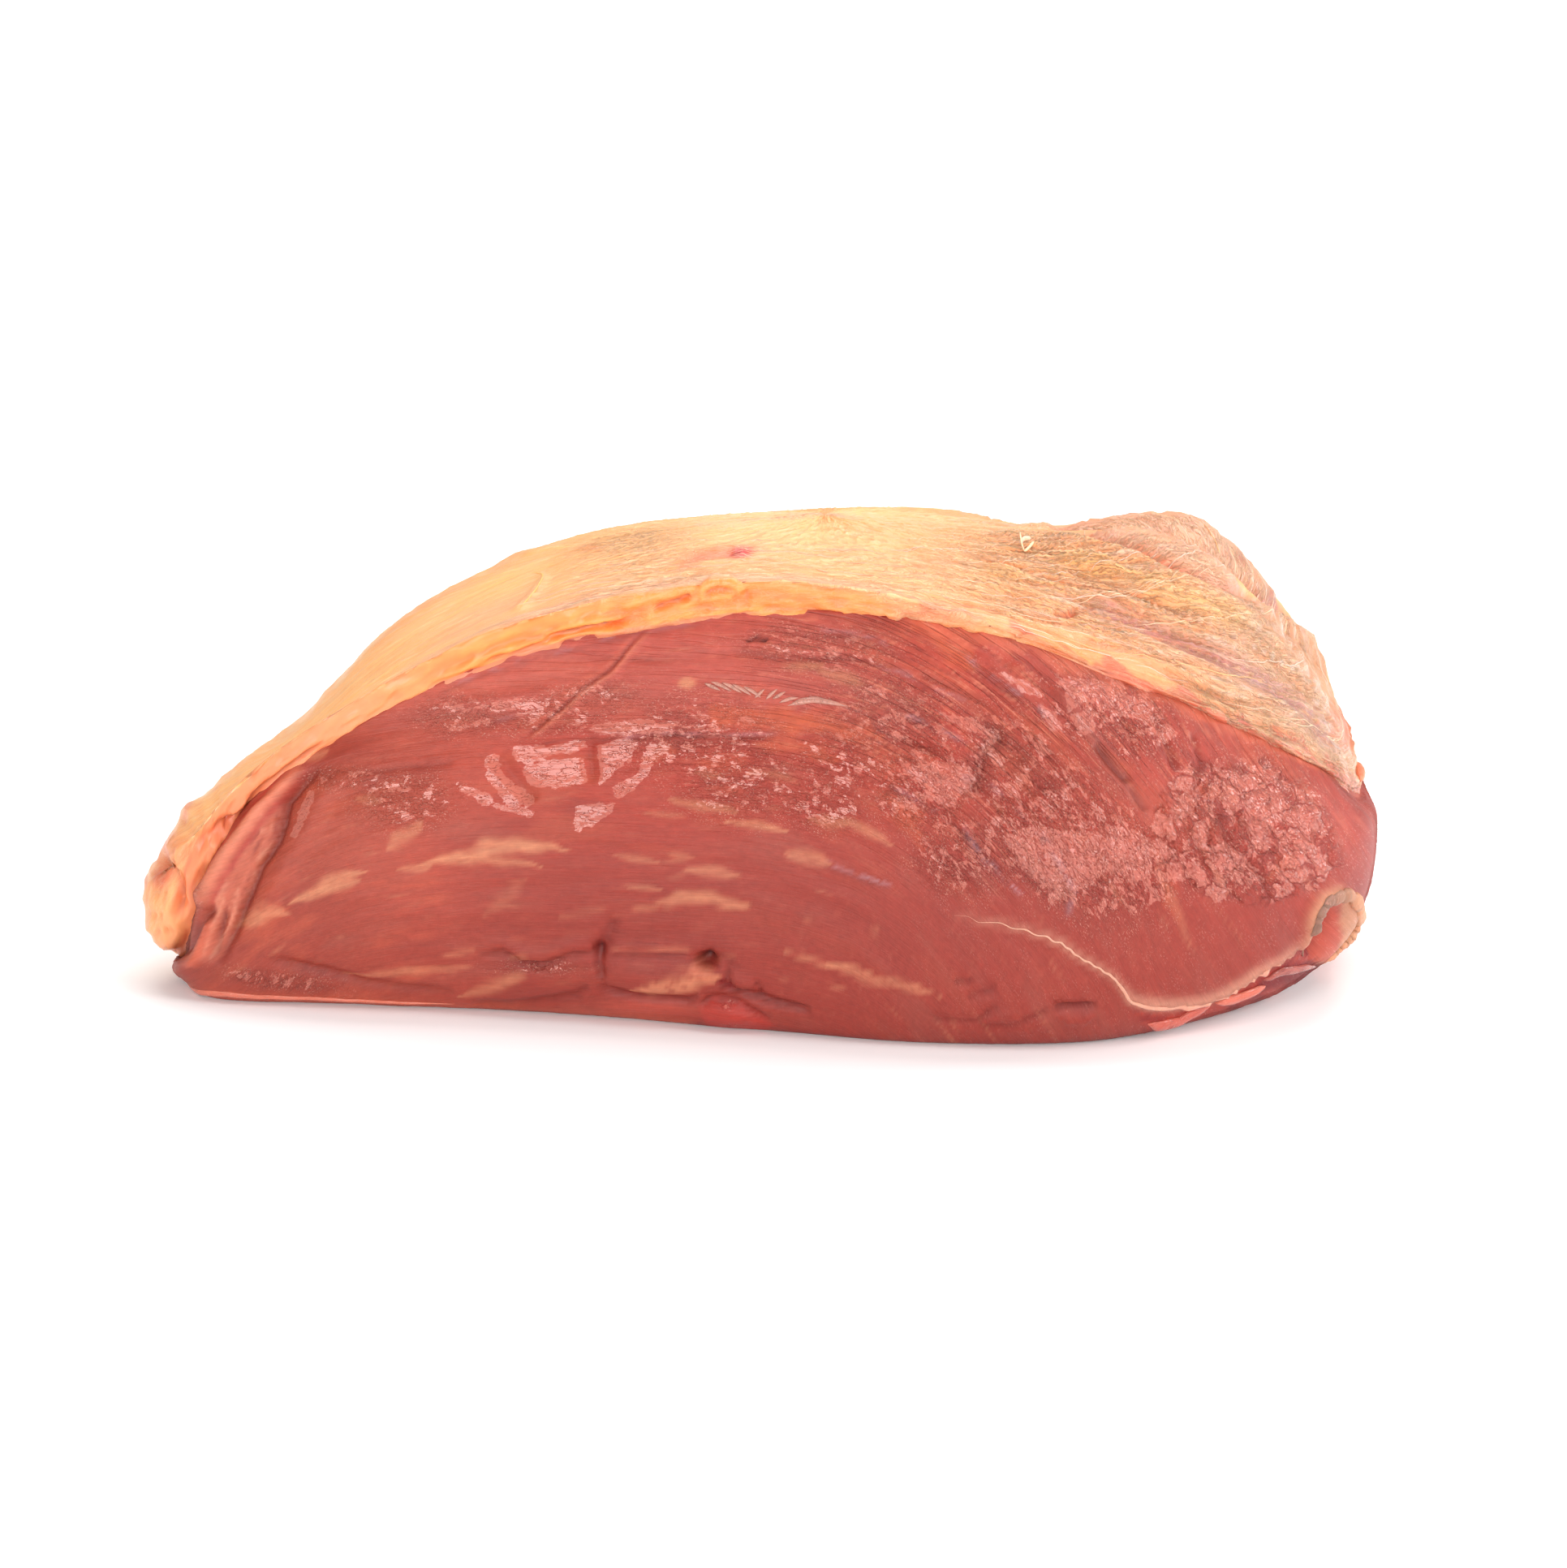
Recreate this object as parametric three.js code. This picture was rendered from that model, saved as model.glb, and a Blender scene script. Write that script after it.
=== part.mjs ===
// Raw beef rump cap lying with its fat up: a boat-shaped muscle, long and thick at one end and thin
// at the other, under a cap of fat that runs over its whole top and shows as a pale band at the cut.
//
// Millimetres, +Z up. X runs along the length, from the thin tip (-X) to the thick end (+X), and the
// long cut face looks towards -Y. The origin is under the middle of the meat, on the surface it lies on.

import * as THREE from 'three';

// ---- driving dimensions -------------------------------------------------------------------------

const CROWN = new THREE.Vector3(11, -4, 84.6);  // highest point of the fat
const FAT_THICKNESS = 7;                        // of the cap at the crown
const SKIN_GAP = 0.3;                           // between the lean and the fat lying on it
const FACE_SHARE = 0.65;                        // share of a side's rows above its widest line

// Sections round the outline, anticlockwise seen from above, starting behind the thin tip.
// at: widest line in plan. foot: how far the underside is tucked in. belly: height of the widest line.
// border: height where the lean ends and the fat starts. lean: how far the border sits inside the
// widest line. lip: how far the fat's cut edge stands out from the border, and its height.
// dome: how quickly the fat rises behind that edge (2 is a round back, 5 a steep shoulder).
const SECTIONS = [
  { at: [-107, -8], foot: 4, belly: 4, border: 6.5, lean: 2.5, lip: [8, 13], dome: 2.6 },    // thin tip
  { at: [-107, -22], foot: 2.5, belly: 4.5, border: 7, lean: 2, lip: [7.5, 13], dome: 2.6 },
  { at: [-101, -35], foot: 5, belly: 13, border: 31, lean: 6.5, lip: [3, 5.5], dome: 2.15 }, // cut face
  { at: [-78, -42], foot: 9, belly: 17, border: 50, lean: 9, lip: [1.4, 5], dome: 2.1 },
  { at: [-43, -48], foot: 10, belly: 22, border: 67.5, lean: 10, lip: [1.2, 5.5], dome: 2.6 },
  { at: [-5, -57], foot: 8, belly: 26, border: 75.5, lean: 13, lip: [1.2, 5.5], dome: 2.2 },
  { at: [29, -66], foot: 8, belly: 28, border: 74, lean: 18, lip: [0.8, 3.5], dome: 2.0 },
  { at: [61, -68], foot: 12, belly: 30, border: 65.5, lean: 20, lip: [0.6, 2.6], dome: 2.6 },
  { at: [89, -57], foot: 19, belly: 30, border: 56, lean: 17, lip: [0.6, 2.0], dome: 3.5 },
  { at: [107, -36], foot: 20, belly: 29, border: 44.5, lean: 9, lip: [0.8, 2.0], dome: 4.4 }, // thick end
  { at: [113, -10], foot: 18, belly: 24, border: 33, lean: 3, lip: [0.6, 2.0], dome: 4.8 },
  { at: [113, 16], foot: 14, belly: 24, border: 40, lean: 5, lip: [0.8, 3.0], dome: 4.2 },
  { at: [107, 44], foot: 12, belly: 23, border: 50, lean: 5.5, lip: [1.0, 3.5], dome: 2.8 },
  { at: [87, 64], foot: 10, belly: 22, border: 52, lean: 7, lip: [1.0, 4.0], dome: 2.0 },   // back
  { at: [55, 68], foot: 10, belly: 20, border: 47, lean: 7, lip: [1.0, 4.5], dome: 2.0 },
  { at: [17, 60], foot: 10, belly: 20, border: 42, lean: 7, lip: [1.0, 5.0], dome: 2.0 },
  { at: [-27, 46], foot: 10, belly: 18, border: 38, lean: 7, lip: [1.0, 5.5], dome: 2.4 },
  { at: [-69, 30], foot: 10, belly: 15, border: 29, lean: 7, lip: [1.5, 5.5], dome: 2.4 },
  { at: [-98, 12], foot: 9, belly: 9, border: 15, lean: 6, lip: [6, 8], dome: 2.4 },
];

// Humps and hollows of the whole top, lean and fat alike: centre, half lengths, turn and height.
const TOP_LOBES = [
  { at: [90, 44], size: [27, 18], turn: 0, rise: 12.4 },       // far muscle at the thick end
  { at: [77, 16], size: [34, 10], turn: -9, rise: -8.6 },      // valley in front of it
  { at: [79, -18], size: [22, 18], turn: -22.9, rise: 4 },     // near muscle
  { at: [50, 4], size: [15, 16], turn: 0, rise: -2.6 },        // saddle between the crown and the far muscle
  { at: [-41, -10], size: [30, 30], turn: 0, rise: 1.5 },      // back of the thin half
  { at: [-85, -12], size: [12, 22], turn: 0, rise: -4 },       // hollow above the thin tip
];

// The cut face's own relief is placed as the face is seen: millimetres across and up from AIM,
// for an eye 1 m away that looks down on the meat at VIEW_TILT.
const AIM = new THREE.Vector3(3.5, -20, 37.8);
const VIEW_DISTANCE = 1000;
const VIEW_TILT = THREE.MathUtils.degToRad(14);

// Long ridges (+) and grooves (-) of the face: the line they follow, half width and height.
const FACE_LINES = [
  { path: [[-84, 3], [-91, -1.5], [-94.5, -9.5], [-98.5, -20.5], [-103.5, -32.5]], width: 2.8, rise: -4 },
  { path: [[-89, 3], [-99, -9.5], [-104.5, -20], [-107, -29]], width: 3.2, rise: 2 },
  { path: [[-55, -32.5], [-44, -33], [-34, -31]], width: 2, rise: -1.5 },
  { path: [[-31.5, -25.5], [-33.5, -34], [-32.5, -37.5]], width: 2.2, rise: -2.5 },
  { path: [[-14, -34], [-12, -37.5], [-5, -40], [5, -42]], width: 2.2, rise: -2.5 },
  { path: [[94, -32], [95, -25], [98.5, -19.5], [102.5, -19.5], [104.5, -24], [102, -31]], width: 1.9, rise: 2 },
  { path: [[101, -23], [96, -31]], width: 1.8, rise: -3 },
];

// Single knobs (+) and holes (-) of the face: centre, half width and half height, and depth.
const FACE_SPOTS = [
  { at: [-14, -33], size: [3.5, 2.8], rise: -4.5 },
  { at: [-23, -34.5], size: [8, 3.5], rise: 2.5 },
  { at: [-5, -43], size: [9, 3.5], rise: 2.5 },
  { at: [107, 4], size: [2.5, 3.5], rise: 1.5 },
];

// ---- mesh density -------------------------------------------------------------------------------

const LAST_FACE_SECTION = 10;   // the face's sections carry more columns than the plain back's
const FACE_COLUMNS = 9;
const BACK_COLUMNS = 3;
const SIDE_ROWS = 20;
const LIP_ROWS = 2;
const TOP_ROWS = 14;
const HIDDEN_ROWS = 5;          // of the lean's top and the fat's underside, which lie together

// ---- the surface --------------------------------------------------------------------------------

const COUNT = SECTIONS.length;

/** Value of each section, averaged with the two on either side: the shape as it nears the crown. */
function softened(values) {
  const weights = [1, 2, 3, 2, 1];
  const total = weights.reduce((sum, weight) => sum + weight);
  return values.map((_, i) => weights.reduce((sum, weight, k) =>
    sum + weight * values[(i + k - 2 + COUNT) % COUNT], 0) / total);
}

/** Closed smooth curve through three values a section. */
function ringCurve(first, second, third) {
  const points = SECTIONS.map((_, i) => new THREE.Vector3(first[i], second[i], third[i]));
  return new THREE.CatmullRomCurve3(points, true, 'catmullrom', 0.5);
}

const field = (pick) => SECTIONS.map(pick);
const outline = ringCurve(field((s) => s.at[0]), field((s) => s.at[1]), field((s) => s.foot));
const heights = ringCurve(field((s) => s.belly), field((s) => s.border), field((s) => s.lean));
const edges = ringCurve(field((s) => s.lip[0]), field((s) => s.lip[1]), field((s) => s.dome));
const softShape = ringCurve(softened(field((s) => s.border)), softened(field((s) => s.lip[1])),
  softened(field((s) => s.dome)));

/** One upright column of the meat: its section, read off the curves, and its outward direction. */
function columnAt(t) {
  const step = 1e-4;
  const ahead = outline.getPoint(t + step);
  const behind = outline.getPoint((t - step + 1) % 1);
  const outward = new THREE.Vector3(ahead.y - behind.y, behind.x - ahead.x, 0).normalize();
  const { x, y, z: foot } = outline.getPoint(t);
  const { x: belly, y: border, z: lean } = heights.getPoint(t);
  const { x: lipOut, y: lipUp, z: dome } = edges.getPoint(t);
  const { x: softBorder, y: softLip, z: softDome } = softShape.getPoint(t);
  const widest = new THREE.Vector3(x, y, 0);
  return { outward, widest, foot, belly, border, lean, lipOut, lipUp, dome, softBorder, softLip, softDome };
}

const columns = SECTIONS.flatMap((_, i) => {
  const steps = i <= LAST_FACE_SECTION ? FACE_COLUMNS : BACK_COLUMNS;
  return Array.from({ length: steps }, (_unused, k) => columnAt((i + k / steps) / COUNT));
});

/** Sum of the humps and hollows of the top at a point in plan: each one a bell over an ellipse. */
function lobeHeight(point) {
  return TOP_LOBES.reduce((sum, { at, size, turn, rise }) => {
    const local = new THREE.Vector2(point.x - at[0], point.y - at[1])
      .rotateAround(new THREE.Vector2(), -THREE.MathUtils.degToRad(turn));
    return sum + rise * Math.exp(-((local.x / size[0]) ** 2) - (local.y / size[1]) ** 2);
  }, 0);
}

/** Where a point of the face is seen: across and up from AIM, on the upright plane through AIM. */
function seen(point) {
  const forward = new THREE.Vector3(0, Math.cos(VIEW_TILT), -Math.sin(VIEW_TILT));
  const up = new THREE.Vector3(0, Math.sin(VIEW_TILT), Math.cos(VIEW_TILT));
  const fromEye = point.clone().sub(AIM).addScaledVector(forward, VIEW_DISTANCE);
  const scale = VIEW_DISTANCE / fromEye.dot(forward);
  return new THREE.Vector3(fromEye.x * scale, fromEye.dot(up) * scale, 0);
}

/** Shortest distance from a seen spot to a line drawn on the face. */
function distanceTo(path, spot) {
  const corners = path.map(([across, up]) => new THREE.Vector3(across, up, 0));
  const nearest = new THREE.Vector3();
  return Math.min(...corners.slice(1).map((corner, i) => {
    new THREE.Line3(corners[i], corner).closestPointToPoint(spot, true, nearest);
    return nearest.distanceTo(spot);
  }));
}

/** How far the face stands out at a point, from its ridges, grooves, knobs and holes. */
function faceRelief(point) {
  const spot = seen(point);
  const lines = FACE_LINES.reduce((sum, { path, width, rise }) =>
    sum + rise * Math.exp(-((distanceTo(path, spot) / width) ** 2)), 0);
  return FACE_SPOTS.reduce((sum, { at, size, rise }) =>
    sum + rise * Math.exp(-(((spot.x - at[0]) / size[0]) ** 2) - ((spot.y - at[1]) / size[1]) ** 2), lines);
}

/**
 * Side of the lean: a quarter ellipse from the foot out to the widest line, then a face that leans
 * back to the border by the square of its height. share runs from 0 at the foot to 1 at the border.
 */
function sidePoint(column, share) {
  const split = 1 - FACE_SHARE;
  const low = share < split;
  const part = low ? share / split : (share - split) / FACE_SHARE;
  const angle = part * Math.PI / 2;
  const inward = low ? column.foot * (1 - Math.sin(angle)) : column.lean * part ** 2;
  const height = low ? column.belly * (1 - Math.cos(angle))
    : THREE.MathUtils.lerp(column.belly, column.border, part);
  const point = column.widest.clone().addScaledVector(column.outward, -inward).setZ(height);
  const turnedToEye = THREE.MathUtils.smoothstep(-column.outward.y, -0.45, -0.05);
  const awayFromEnds = Math.min(1, share * 4, (1 - share) * 6);
  return point.addScaledVector(column.outward, faceRelief(point) * turnedToEye * awayFromEnds);
}

/**
 * Top of the lean (over = false) or of the fat (over = true). It starts at the border or at the
 * fat's lip, and rises to the crown by 1 - (1 - share)^dome, plus the lobes.
 */
function topPoint(column, share, over) {
  const soft = Math.min(1, 1.6 * share);
  const border = THREE.MathUtils.lerp(column.border, column.softBorder, soft);
  const lip = over ? THREE.MathUtils.lerp(column.lipUp, column.softLip, soft) : 0;
  const dome = THREE.MathUtils.lerp(column.dome, column.softDome, soft);
  const inward = column.lean - (over ? column.lipOut : 0);
  const crown = CROWN.z - (over ? 0 : FAT_THICKNESS);
  const plan = column.widest.clone().addScaledVector(column.outward, -inward).lerp(CROWN, share);
  const rise = 1 - (1 - share) ** dome;
  const height = border + lip + (crown - border - lip) * rise + lobeHeight(plan) * Math.min(1, 5 * share);
  return plan.setZ(height);
}

/** Cut edge of the fat: a quarter ellipse that swells out of the border and turns up to the top. */
function lipPoint(column, share) {
  const angle = share * Math.PI / 2;
  const inward = column.lean - column.lipOut * Math.sin(angle);
  return column.widest.clone().addScaledVector(column.outward, -inward)
    .setZ(column.border + SKIN_GAP + (column.lipUp - SKIN_GAP) * (1 - Math.cos(angle)));
}

/** Rows of points, one for each share of the way, through all the columns. */
function rowsOf(count, makePoint, from = 0, spacing = 1) {
  return Array.from({ length: count - from }, (_, i) =>
    columns.map((column) => makePoint(column, ((i + from) / count) ** spacing)));
}

/**
 * Closed skin from a first middle point, through rings of points that run round it, to a last one.
 * downwards says that it starts at the top, so that its faces are turned over to point out.
 */
function closedSkin(first, rings, last, downwards = false) {
  const width = columns.length;
  const points = [first, ...rings.flat(), last];
  const lastIndex = points.length - 1;
  const at = (ring, i) => 1 + ring * width + (i % width);
  const faces = [];
  for (let i = 0; i < width; i += 1) {
    faces.push(0, at(0, i + 1), at(0, i));
    for (let ring = 0; ring < rings.length - 1; ring += 1) {
      faces.push(at(ring, i), at(ring, i + 1), at(ring + 1, i + 1));
      faces.push(at(ring, i), at(ring + 1, i + 1), at(ring + 1, i));
    }
    faces.push(at(rings.length - 1, i), at(rings.length - 1, i + 1), lastIndex);
  }
  const geometry = new THREE.BufferGeometry().setFromPoints(points);
  geometry.setIndex(downwards ? faces.reverse() : faces);
  geometry.computeVertexNormals();
  return geometry;
}

// ---- the two pieces -----------------------------------------------------------------------------

const hiddenTop = rowsOf(HIDDEN_ROWS, (column, share) => topPoint(column, share, false), 1);

/** The muscle: flat underside, sides with the face's relief, and the top that the fat hides. */
function makeLean() {
  const underside = new THREE.Vector3(CROWN.x, CROWN.y, 0);
  const sides = [...rowsOf(SIDE_ROWS, sidePoint), columns.map((column) => sidePoint(column, 1))];
  const geometry = closedSkin(underside, [...sides, ...hiddenTop], leanCrown());
  const material = new THREE.MeshStandardMaterial({ color: 0xb9594c, roughness: 0.35, metalness: 0 });
  const mesh = new THREE.Mesh(geometry, material);
  mesh.name = 'lean';
  return mesh;
}

/** The fat: its underside follows the lean's top a skin gap above it, then the lip and the dome. */
function makeFatCap() {
  const lift = new THREE.Vector3(0, 0, SKIN_GAP);
  const top = rowsOf(TOP_ROWS, (column, share) => topPoint(column, share, true), 0, 1.25);
  const lip = rowsOf(LIP_ROWS, lipPoint);
  const under = hiddenTop.map((ring) => ring.map((point) => point.clone().add(lift)));
  const geometry = closedSkin(CROWN.clone().setZ(CROWN.z + lobeHeight(CROWN)),
    [...top.reverse(), ...lip.reverse(), ...under], leanCrown().add(lift), true);
  const material = new THREE.MeshStandardMaterial({ color: 0xf6c48f, roughness: 0.5, metalness: 0 });
  const mesh = new THREE.Mesh(geometry, material);
  mesh.name = 'fat_cap';
  return mesh;
}

/** Middle of the lean's top, under the crown of the fat. */
function leanCrown() {
  return CROWN.clone().setZ(CROWN.z - FAT_THICKNESS + lobeHeight(CROWN));
}

const picanha = new THREE.Group();
picanha.add(makeLean(), makeFatCap());

export default picanha;
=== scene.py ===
"""Raw beef rump cap (picanha), fat side up, on a pale studio floor.

Lengths in this script are millimetres until a mesh is made, and metres from there on. Forms that
belong to one place on the meat are placed as they are seen from the front: in pixels of a frame
1931 wide and 1932 high, 0.1485 mm each on the upright plane through AIM.
"""
import math
import bpy
import numpy as np
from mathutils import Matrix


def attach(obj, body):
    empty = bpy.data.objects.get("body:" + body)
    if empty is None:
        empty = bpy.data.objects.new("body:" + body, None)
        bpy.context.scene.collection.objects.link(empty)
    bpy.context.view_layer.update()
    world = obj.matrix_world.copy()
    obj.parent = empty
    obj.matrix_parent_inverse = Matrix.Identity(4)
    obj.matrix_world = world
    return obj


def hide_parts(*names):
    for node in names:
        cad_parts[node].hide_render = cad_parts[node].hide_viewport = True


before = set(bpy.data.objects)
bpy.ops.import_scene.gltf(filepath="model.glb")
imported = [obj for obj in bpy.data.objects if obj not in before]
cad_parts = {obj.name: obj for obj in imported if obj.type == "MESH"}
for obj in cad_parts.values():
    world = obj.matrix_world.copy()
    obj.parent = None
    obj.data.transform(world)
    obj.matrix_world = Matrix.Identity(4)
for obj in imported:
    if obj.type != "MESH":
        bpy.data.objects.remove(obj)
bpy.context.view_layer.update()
scene = bpy.context.scene
MM = 0.001

# ==== Camera ====
# A long lens one metre from the middle of the meat, looking down on it by 14 degrees, as the
# long cut face is seen when the meat lies on a table.
AIM = np.array([3.5, -20.0, 37.8])
VIEW_DISTANCE = 1000.0
VIEW_TILT = math.radians(14)
FRAME_SIZE = np.array([1931, 1932])
PIXEL = 0.1485
SENSOR = 36.0

camera_data = bpy.data.cameras.new("camera")
camera_data.sensor_width = SENSOR
camera_data.lens = SENSOR * VIEW_DISTANCE / (PIXEL * FRAME_SIZE[0])
camera_data.clip_end = 50
camera = bpy.data.objects.new("camera", camera_data)
scene.collection.objects.link(camera)
towards_eye = np.array([0, -math.cos(VIEW_TILT), math.sin(VIEW_TILT)])
camera.location = (AIM + towards_eye * VIEW_DISTANCE) * MM
camera.rotation_euler = (math.pi / 2 - VIEW_TILT, 0, 0)
scene.camera = camera

# ==== Studio ====
# A plain white floor that glows a little further off, low soft boxes round the front and the right,
# a high one and a wide one overhead, in an even pale room.
FLOOR_HALF = 12.0
FLOOR_GLOW = 0.1
FAR_FLOOR_GLOW = 0.55
ROOM_LIGHT = 0.37
SOFT_BOXES = [  # name, azimuth from the camera, elevation, distance (m), width, height, brightness
    ("front_left", -29, 15, 1.6, 0.82, 0.5, 7.4),
    ("front_right", 18, 11, 1.6, 0.9, 0.38, 7.4),
    ("right", 66, 25, 1.6, 0.62, 0.62, 7.2),
    ("right_back", 108, 20, 1.6, 0.62, 0.62, 6.8),
    ("high", 50, 54, 1.6, 0.55, 0.5, 6.0),
    ("overhead", 172, 66, 1.7, 1.7, 1.4, 3.3),
]

scene.view_settings.view_transform = "Standard"
scene.view_settings.look = "None"
world = bpy.data.worlds.new("room")
world.use_nodes = True
world.node_tree.nodes["Background"].inputs["Color"].default_value = (1, 1, 1, 1)
world.node_tree.nodes["Background"].inputs["Strength"].default_value = ROOM_LIGHT
scene.world = world

floor_mesh = bpy.data.meshes.new("floor")
corners = [(-FLOOR_HALF, -FLOOR_HALF, 0), (FLOOR_HALF, -FLOOR_HALF, 0),
           (FLOOR_HALF, FLOOR_HALF, 0), (-FLOOR_HALF, FLOOR_HALF, 0)]
floor_mesh.from_pydata(corners, [], [(0, 1, 2, 3)])
floor = bpy.data.objects.new("floor", floor_mesh)
scene.collection.objects.link(floor)
floor_paint = bpy.data.materials.new("floor_white")
floor_paint.use_nodes = True
floor_shader = floor_paint.node_tree.nodes["Principled BSDF"]
floor_shader.inputs["Base Color"].default_value = (0.93, 0.93, 0.93, 1)
floor_shader.inputs["Roughness"].default_value = 0.9
floor_shader.inputs["Specular IOR Level"].default_value = 0.1
floor_shader.inputs["Emission Color"].default_value = (1, 1, 1, 1)
floor_tree = floor_paint.node_tree
floor_place = floor_tree.nodes.new("ShaderNodeTexCoord")
floor_distance = floor_tree.nodes.new("ShaderNodeVectorMath")
floor_distance.operation = "LENGTH"
floor_tree.links.new(floor_place.outputs["Object"], floor_distance.inputs[0])
floor_glow = floor_tree.nodes.new("ShaderNodeMapRange")
for socket, value in zip(floor_glow.inputs[1:5], (0.3, 1.6, FLOOR_GLOW, FAR_FLOOR_GLOW)):
    socket.default_value = value
floor_tree.links.new(floor_distance.outputs["Value"], floor_glow.inputs[0])
floor_tree.links.new(floor_glow.outputs[0], floor_shader.inputs["Emission Strength"])
floor_mesh.materials.append(floor_paint)


def soft_box(name, azimuth, elevation, distance, width, height, brightness):
    """A rectangle light on a sphere round the meat, facing it. Power is pi x area x brightness."""
    light = bpy.data.lights.new(name, "AREA")
    light.shape = "RECTANGLE"
    light.size = width
    light.size_y = height
    light.energy = math.pi * width * height * brightness
    box = bpy.data.objects.new(name, light)
    scene.collection.objects.link(box)
    turn = math.radians(azimuth)
    rise = math.radians(elevation)
    box.location = (math.sin(turn) * math.cos(rise) * distance,
                    -math.cos(turn) * math.cos(rise) * distance,
                    math.sin(rise) * distance + AIM[2] * MM)
    box.rotation_euler = (math.pi / 2 - rise, 0, turn)


for soft_box_row in SOFT_BOXES:
    soft_box(*soft_box_row)

# ==== Lean ====
# The muscle: a boat-shaped cut of lean beef, long and thick at one end, thin at the other, flat
# where it lies. The side towards the camera is the long cut face, moist, with its grain, marbling,
# seams and creases. It is one closed skin of sections that run up its side.
SECTIONS = np.array([
    # x, y of the widest line, foot tuck, belly height, border height, lean inset, lip out, lip up, dome
    [-107, -8, 4, 4, 6.5, 2.5, 8, 13, 2.6],
    [-107, -22, 2.5, 4.5, 7, 2, 7.5, 13, 2.6],
    [-101, -35, 5, 13, 31, 6.5, 3, 5.5, 2.15],
    [-78, -42, 9, 17, 50, 9, 1.4, 5, 2.1],
    [-43, -48, 10, 22, 67.5, 10, 1.2, 5.5, 2.6],
    [-5, -57, 8, 26, 75.5, 13, 1.2, 5.5, 2.2],
    [29, -66, 8, 28, 74, 18, 0.8, 3.5, 2.0],
    [61, -68, 12, 30, 65.5, 20, 0.6, 2.6, 2.6],
    [89, -57, 19, 30, 56, 17, 0.6, 2.0, 3.5],
    [107, -36, 20, 29, 44.5, 9, 0.8, 2.0, 4.4],
    [113, -10, 18, 24, 33, 3, 0.6, 2.0, 4.8],
    [113, 16, 14, 24, 40, 5, 0.8, 3.0, 4.2],
    [107, 44, 12, 23, 50, 5.5, 1.0, 3.5, 2.8],
    [87, 64, 10, 22, 52, 7, 1.0, 4.0, 2.0],
    [55, 68, 10, 20, 47, 7, 1.0, 4.5, 2.0],
    [17, 60, 10, 20, 42, 7, 1.0, 5.0, 2.0],
    [-27, 46, 10, 18, 38, 7, 1.0, 5.5, 2.4],
    [-69, 30, 10, 15, 29, 7, 1.5, 5.5, 2.4],
    [-98, 12, 9, 9, 15, 6, 6, 8, 2.4],
], float)
CROWN = np.array([11.0, -4.0, 84.6])
FAT_THICKNESS = 7.0
LOBES = [  # x, y, half lengths, turn in degrees, rise
    (90, 44, 27, 18, 0.0, 12.4), (77, 16, 34, 10, -9.0, -8.6), (79, -18, 22, 18, -22.9, 4),
    (50, 4, 15, 16, 0.0, -2.6), (-41, -10, 30, 30, 0.0, 1.5), (-85, -12, 12, 22, 0.0, -4.0),
]
FACE_SHARE = 0.65                                # part of the side's rows above the widest line
COLUMNS = 700
BACK_DENSITY = 0.34                              # columns per length behind, against in front
LAST_FACE_SECTION = 10.5
TIP_SECTION = 18
OUTLINE_STEPS = 6001
SIDE_ROWS = 124
FOOT_ROWS = 34                                   # of them, the rows below the widest line
FLOOR_GAP = 0.02                                 # no skin comes nearer to the floor than this
NOISE_SIZE = 512
LEAN_SEED = 7


def closed_curve(values, u):
    """Uniform Catmull-Rom curve through one row of values a section, read at u sections."""
    count = len(values)
    i = np.floor(u).astype(int)
    f = (u - i)[:, None]
    p0, p1, p2, p3 = (values[(i + k) % count] for k in (-1, 0, 1, 2))
    return 0.5 * (2 * p1 + (p2 - p0) * f + (2 * p0 - 5 * p1 + 4 * p2 - p3) * f ** 2
                  + (3 * p1 - p0 - 3 * p2 + p3) * f ** 3)


def even_columns(count):
    """Places round the outline, evenly far apart, but further apart behind than in front."""
    fine = np.linspace(0, len(SECTIONS), OUTLINE_STEPS)
    plan = closed_curve(SECTIONS, fine)[:, :2]
    length = np.linalg.norm(np.diff(plan, axis=0), axis=1)
    middle = 0.5 * (fine[1:] + fine[:-1])
    front = np.clip(LAST_FACE_SECTION + 1 - middle, 0, 1) + np.clip(middle - TIP_SECTION, 0, 1)
    weight = length * (BACK_DENSITY + (1 - BACK_DENSITY) * front)
    total = np.concatenate([[0], np.cumsum(weight)])
    return np.interp(np.arange(count) / count * total[-1], total, fine)


def outline_at(u):
    """Section values at u, and the direction in plan that points away from the meat there."""
    values = closed_curve(SECTIONS, u)
    along = closed_curve(SECTIONS[:, :2], u + 1e-3) - closed_curve(SECTIONS[:, :2], u - 1e-3)
    along /= np.linalg.norm(along, axis=1)[:, None]
    return values, np.stack([along[:, 1], -along[:, 0]], 1)


def smooth(low, high, value):
    """0 below low, 1 above high, and an S curve between them."""
    t = np.clip((value - low) / (high - low), 0, 1)
    return t * t * (3 - 2 * t)


def lobe_height(x, y):
    """Sum of the humps and hollows of the whole top, each one a bell over a turned ellipse."""
    total = np.zeros_like(x)
    for cx, cy, sx, sy, turn, rise in LOBES:
        c = math.cos(math.radians(turn))
        s = math.sin(math.radians(turn))
        along = ((x - cx) * c + (y - cy) * s) / sx
        across = (-(x - cx) * s + (y - cy) * c) / sy
        total += rise * np.exp(-along ** 2 - across ** 2)
    return total


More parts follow.
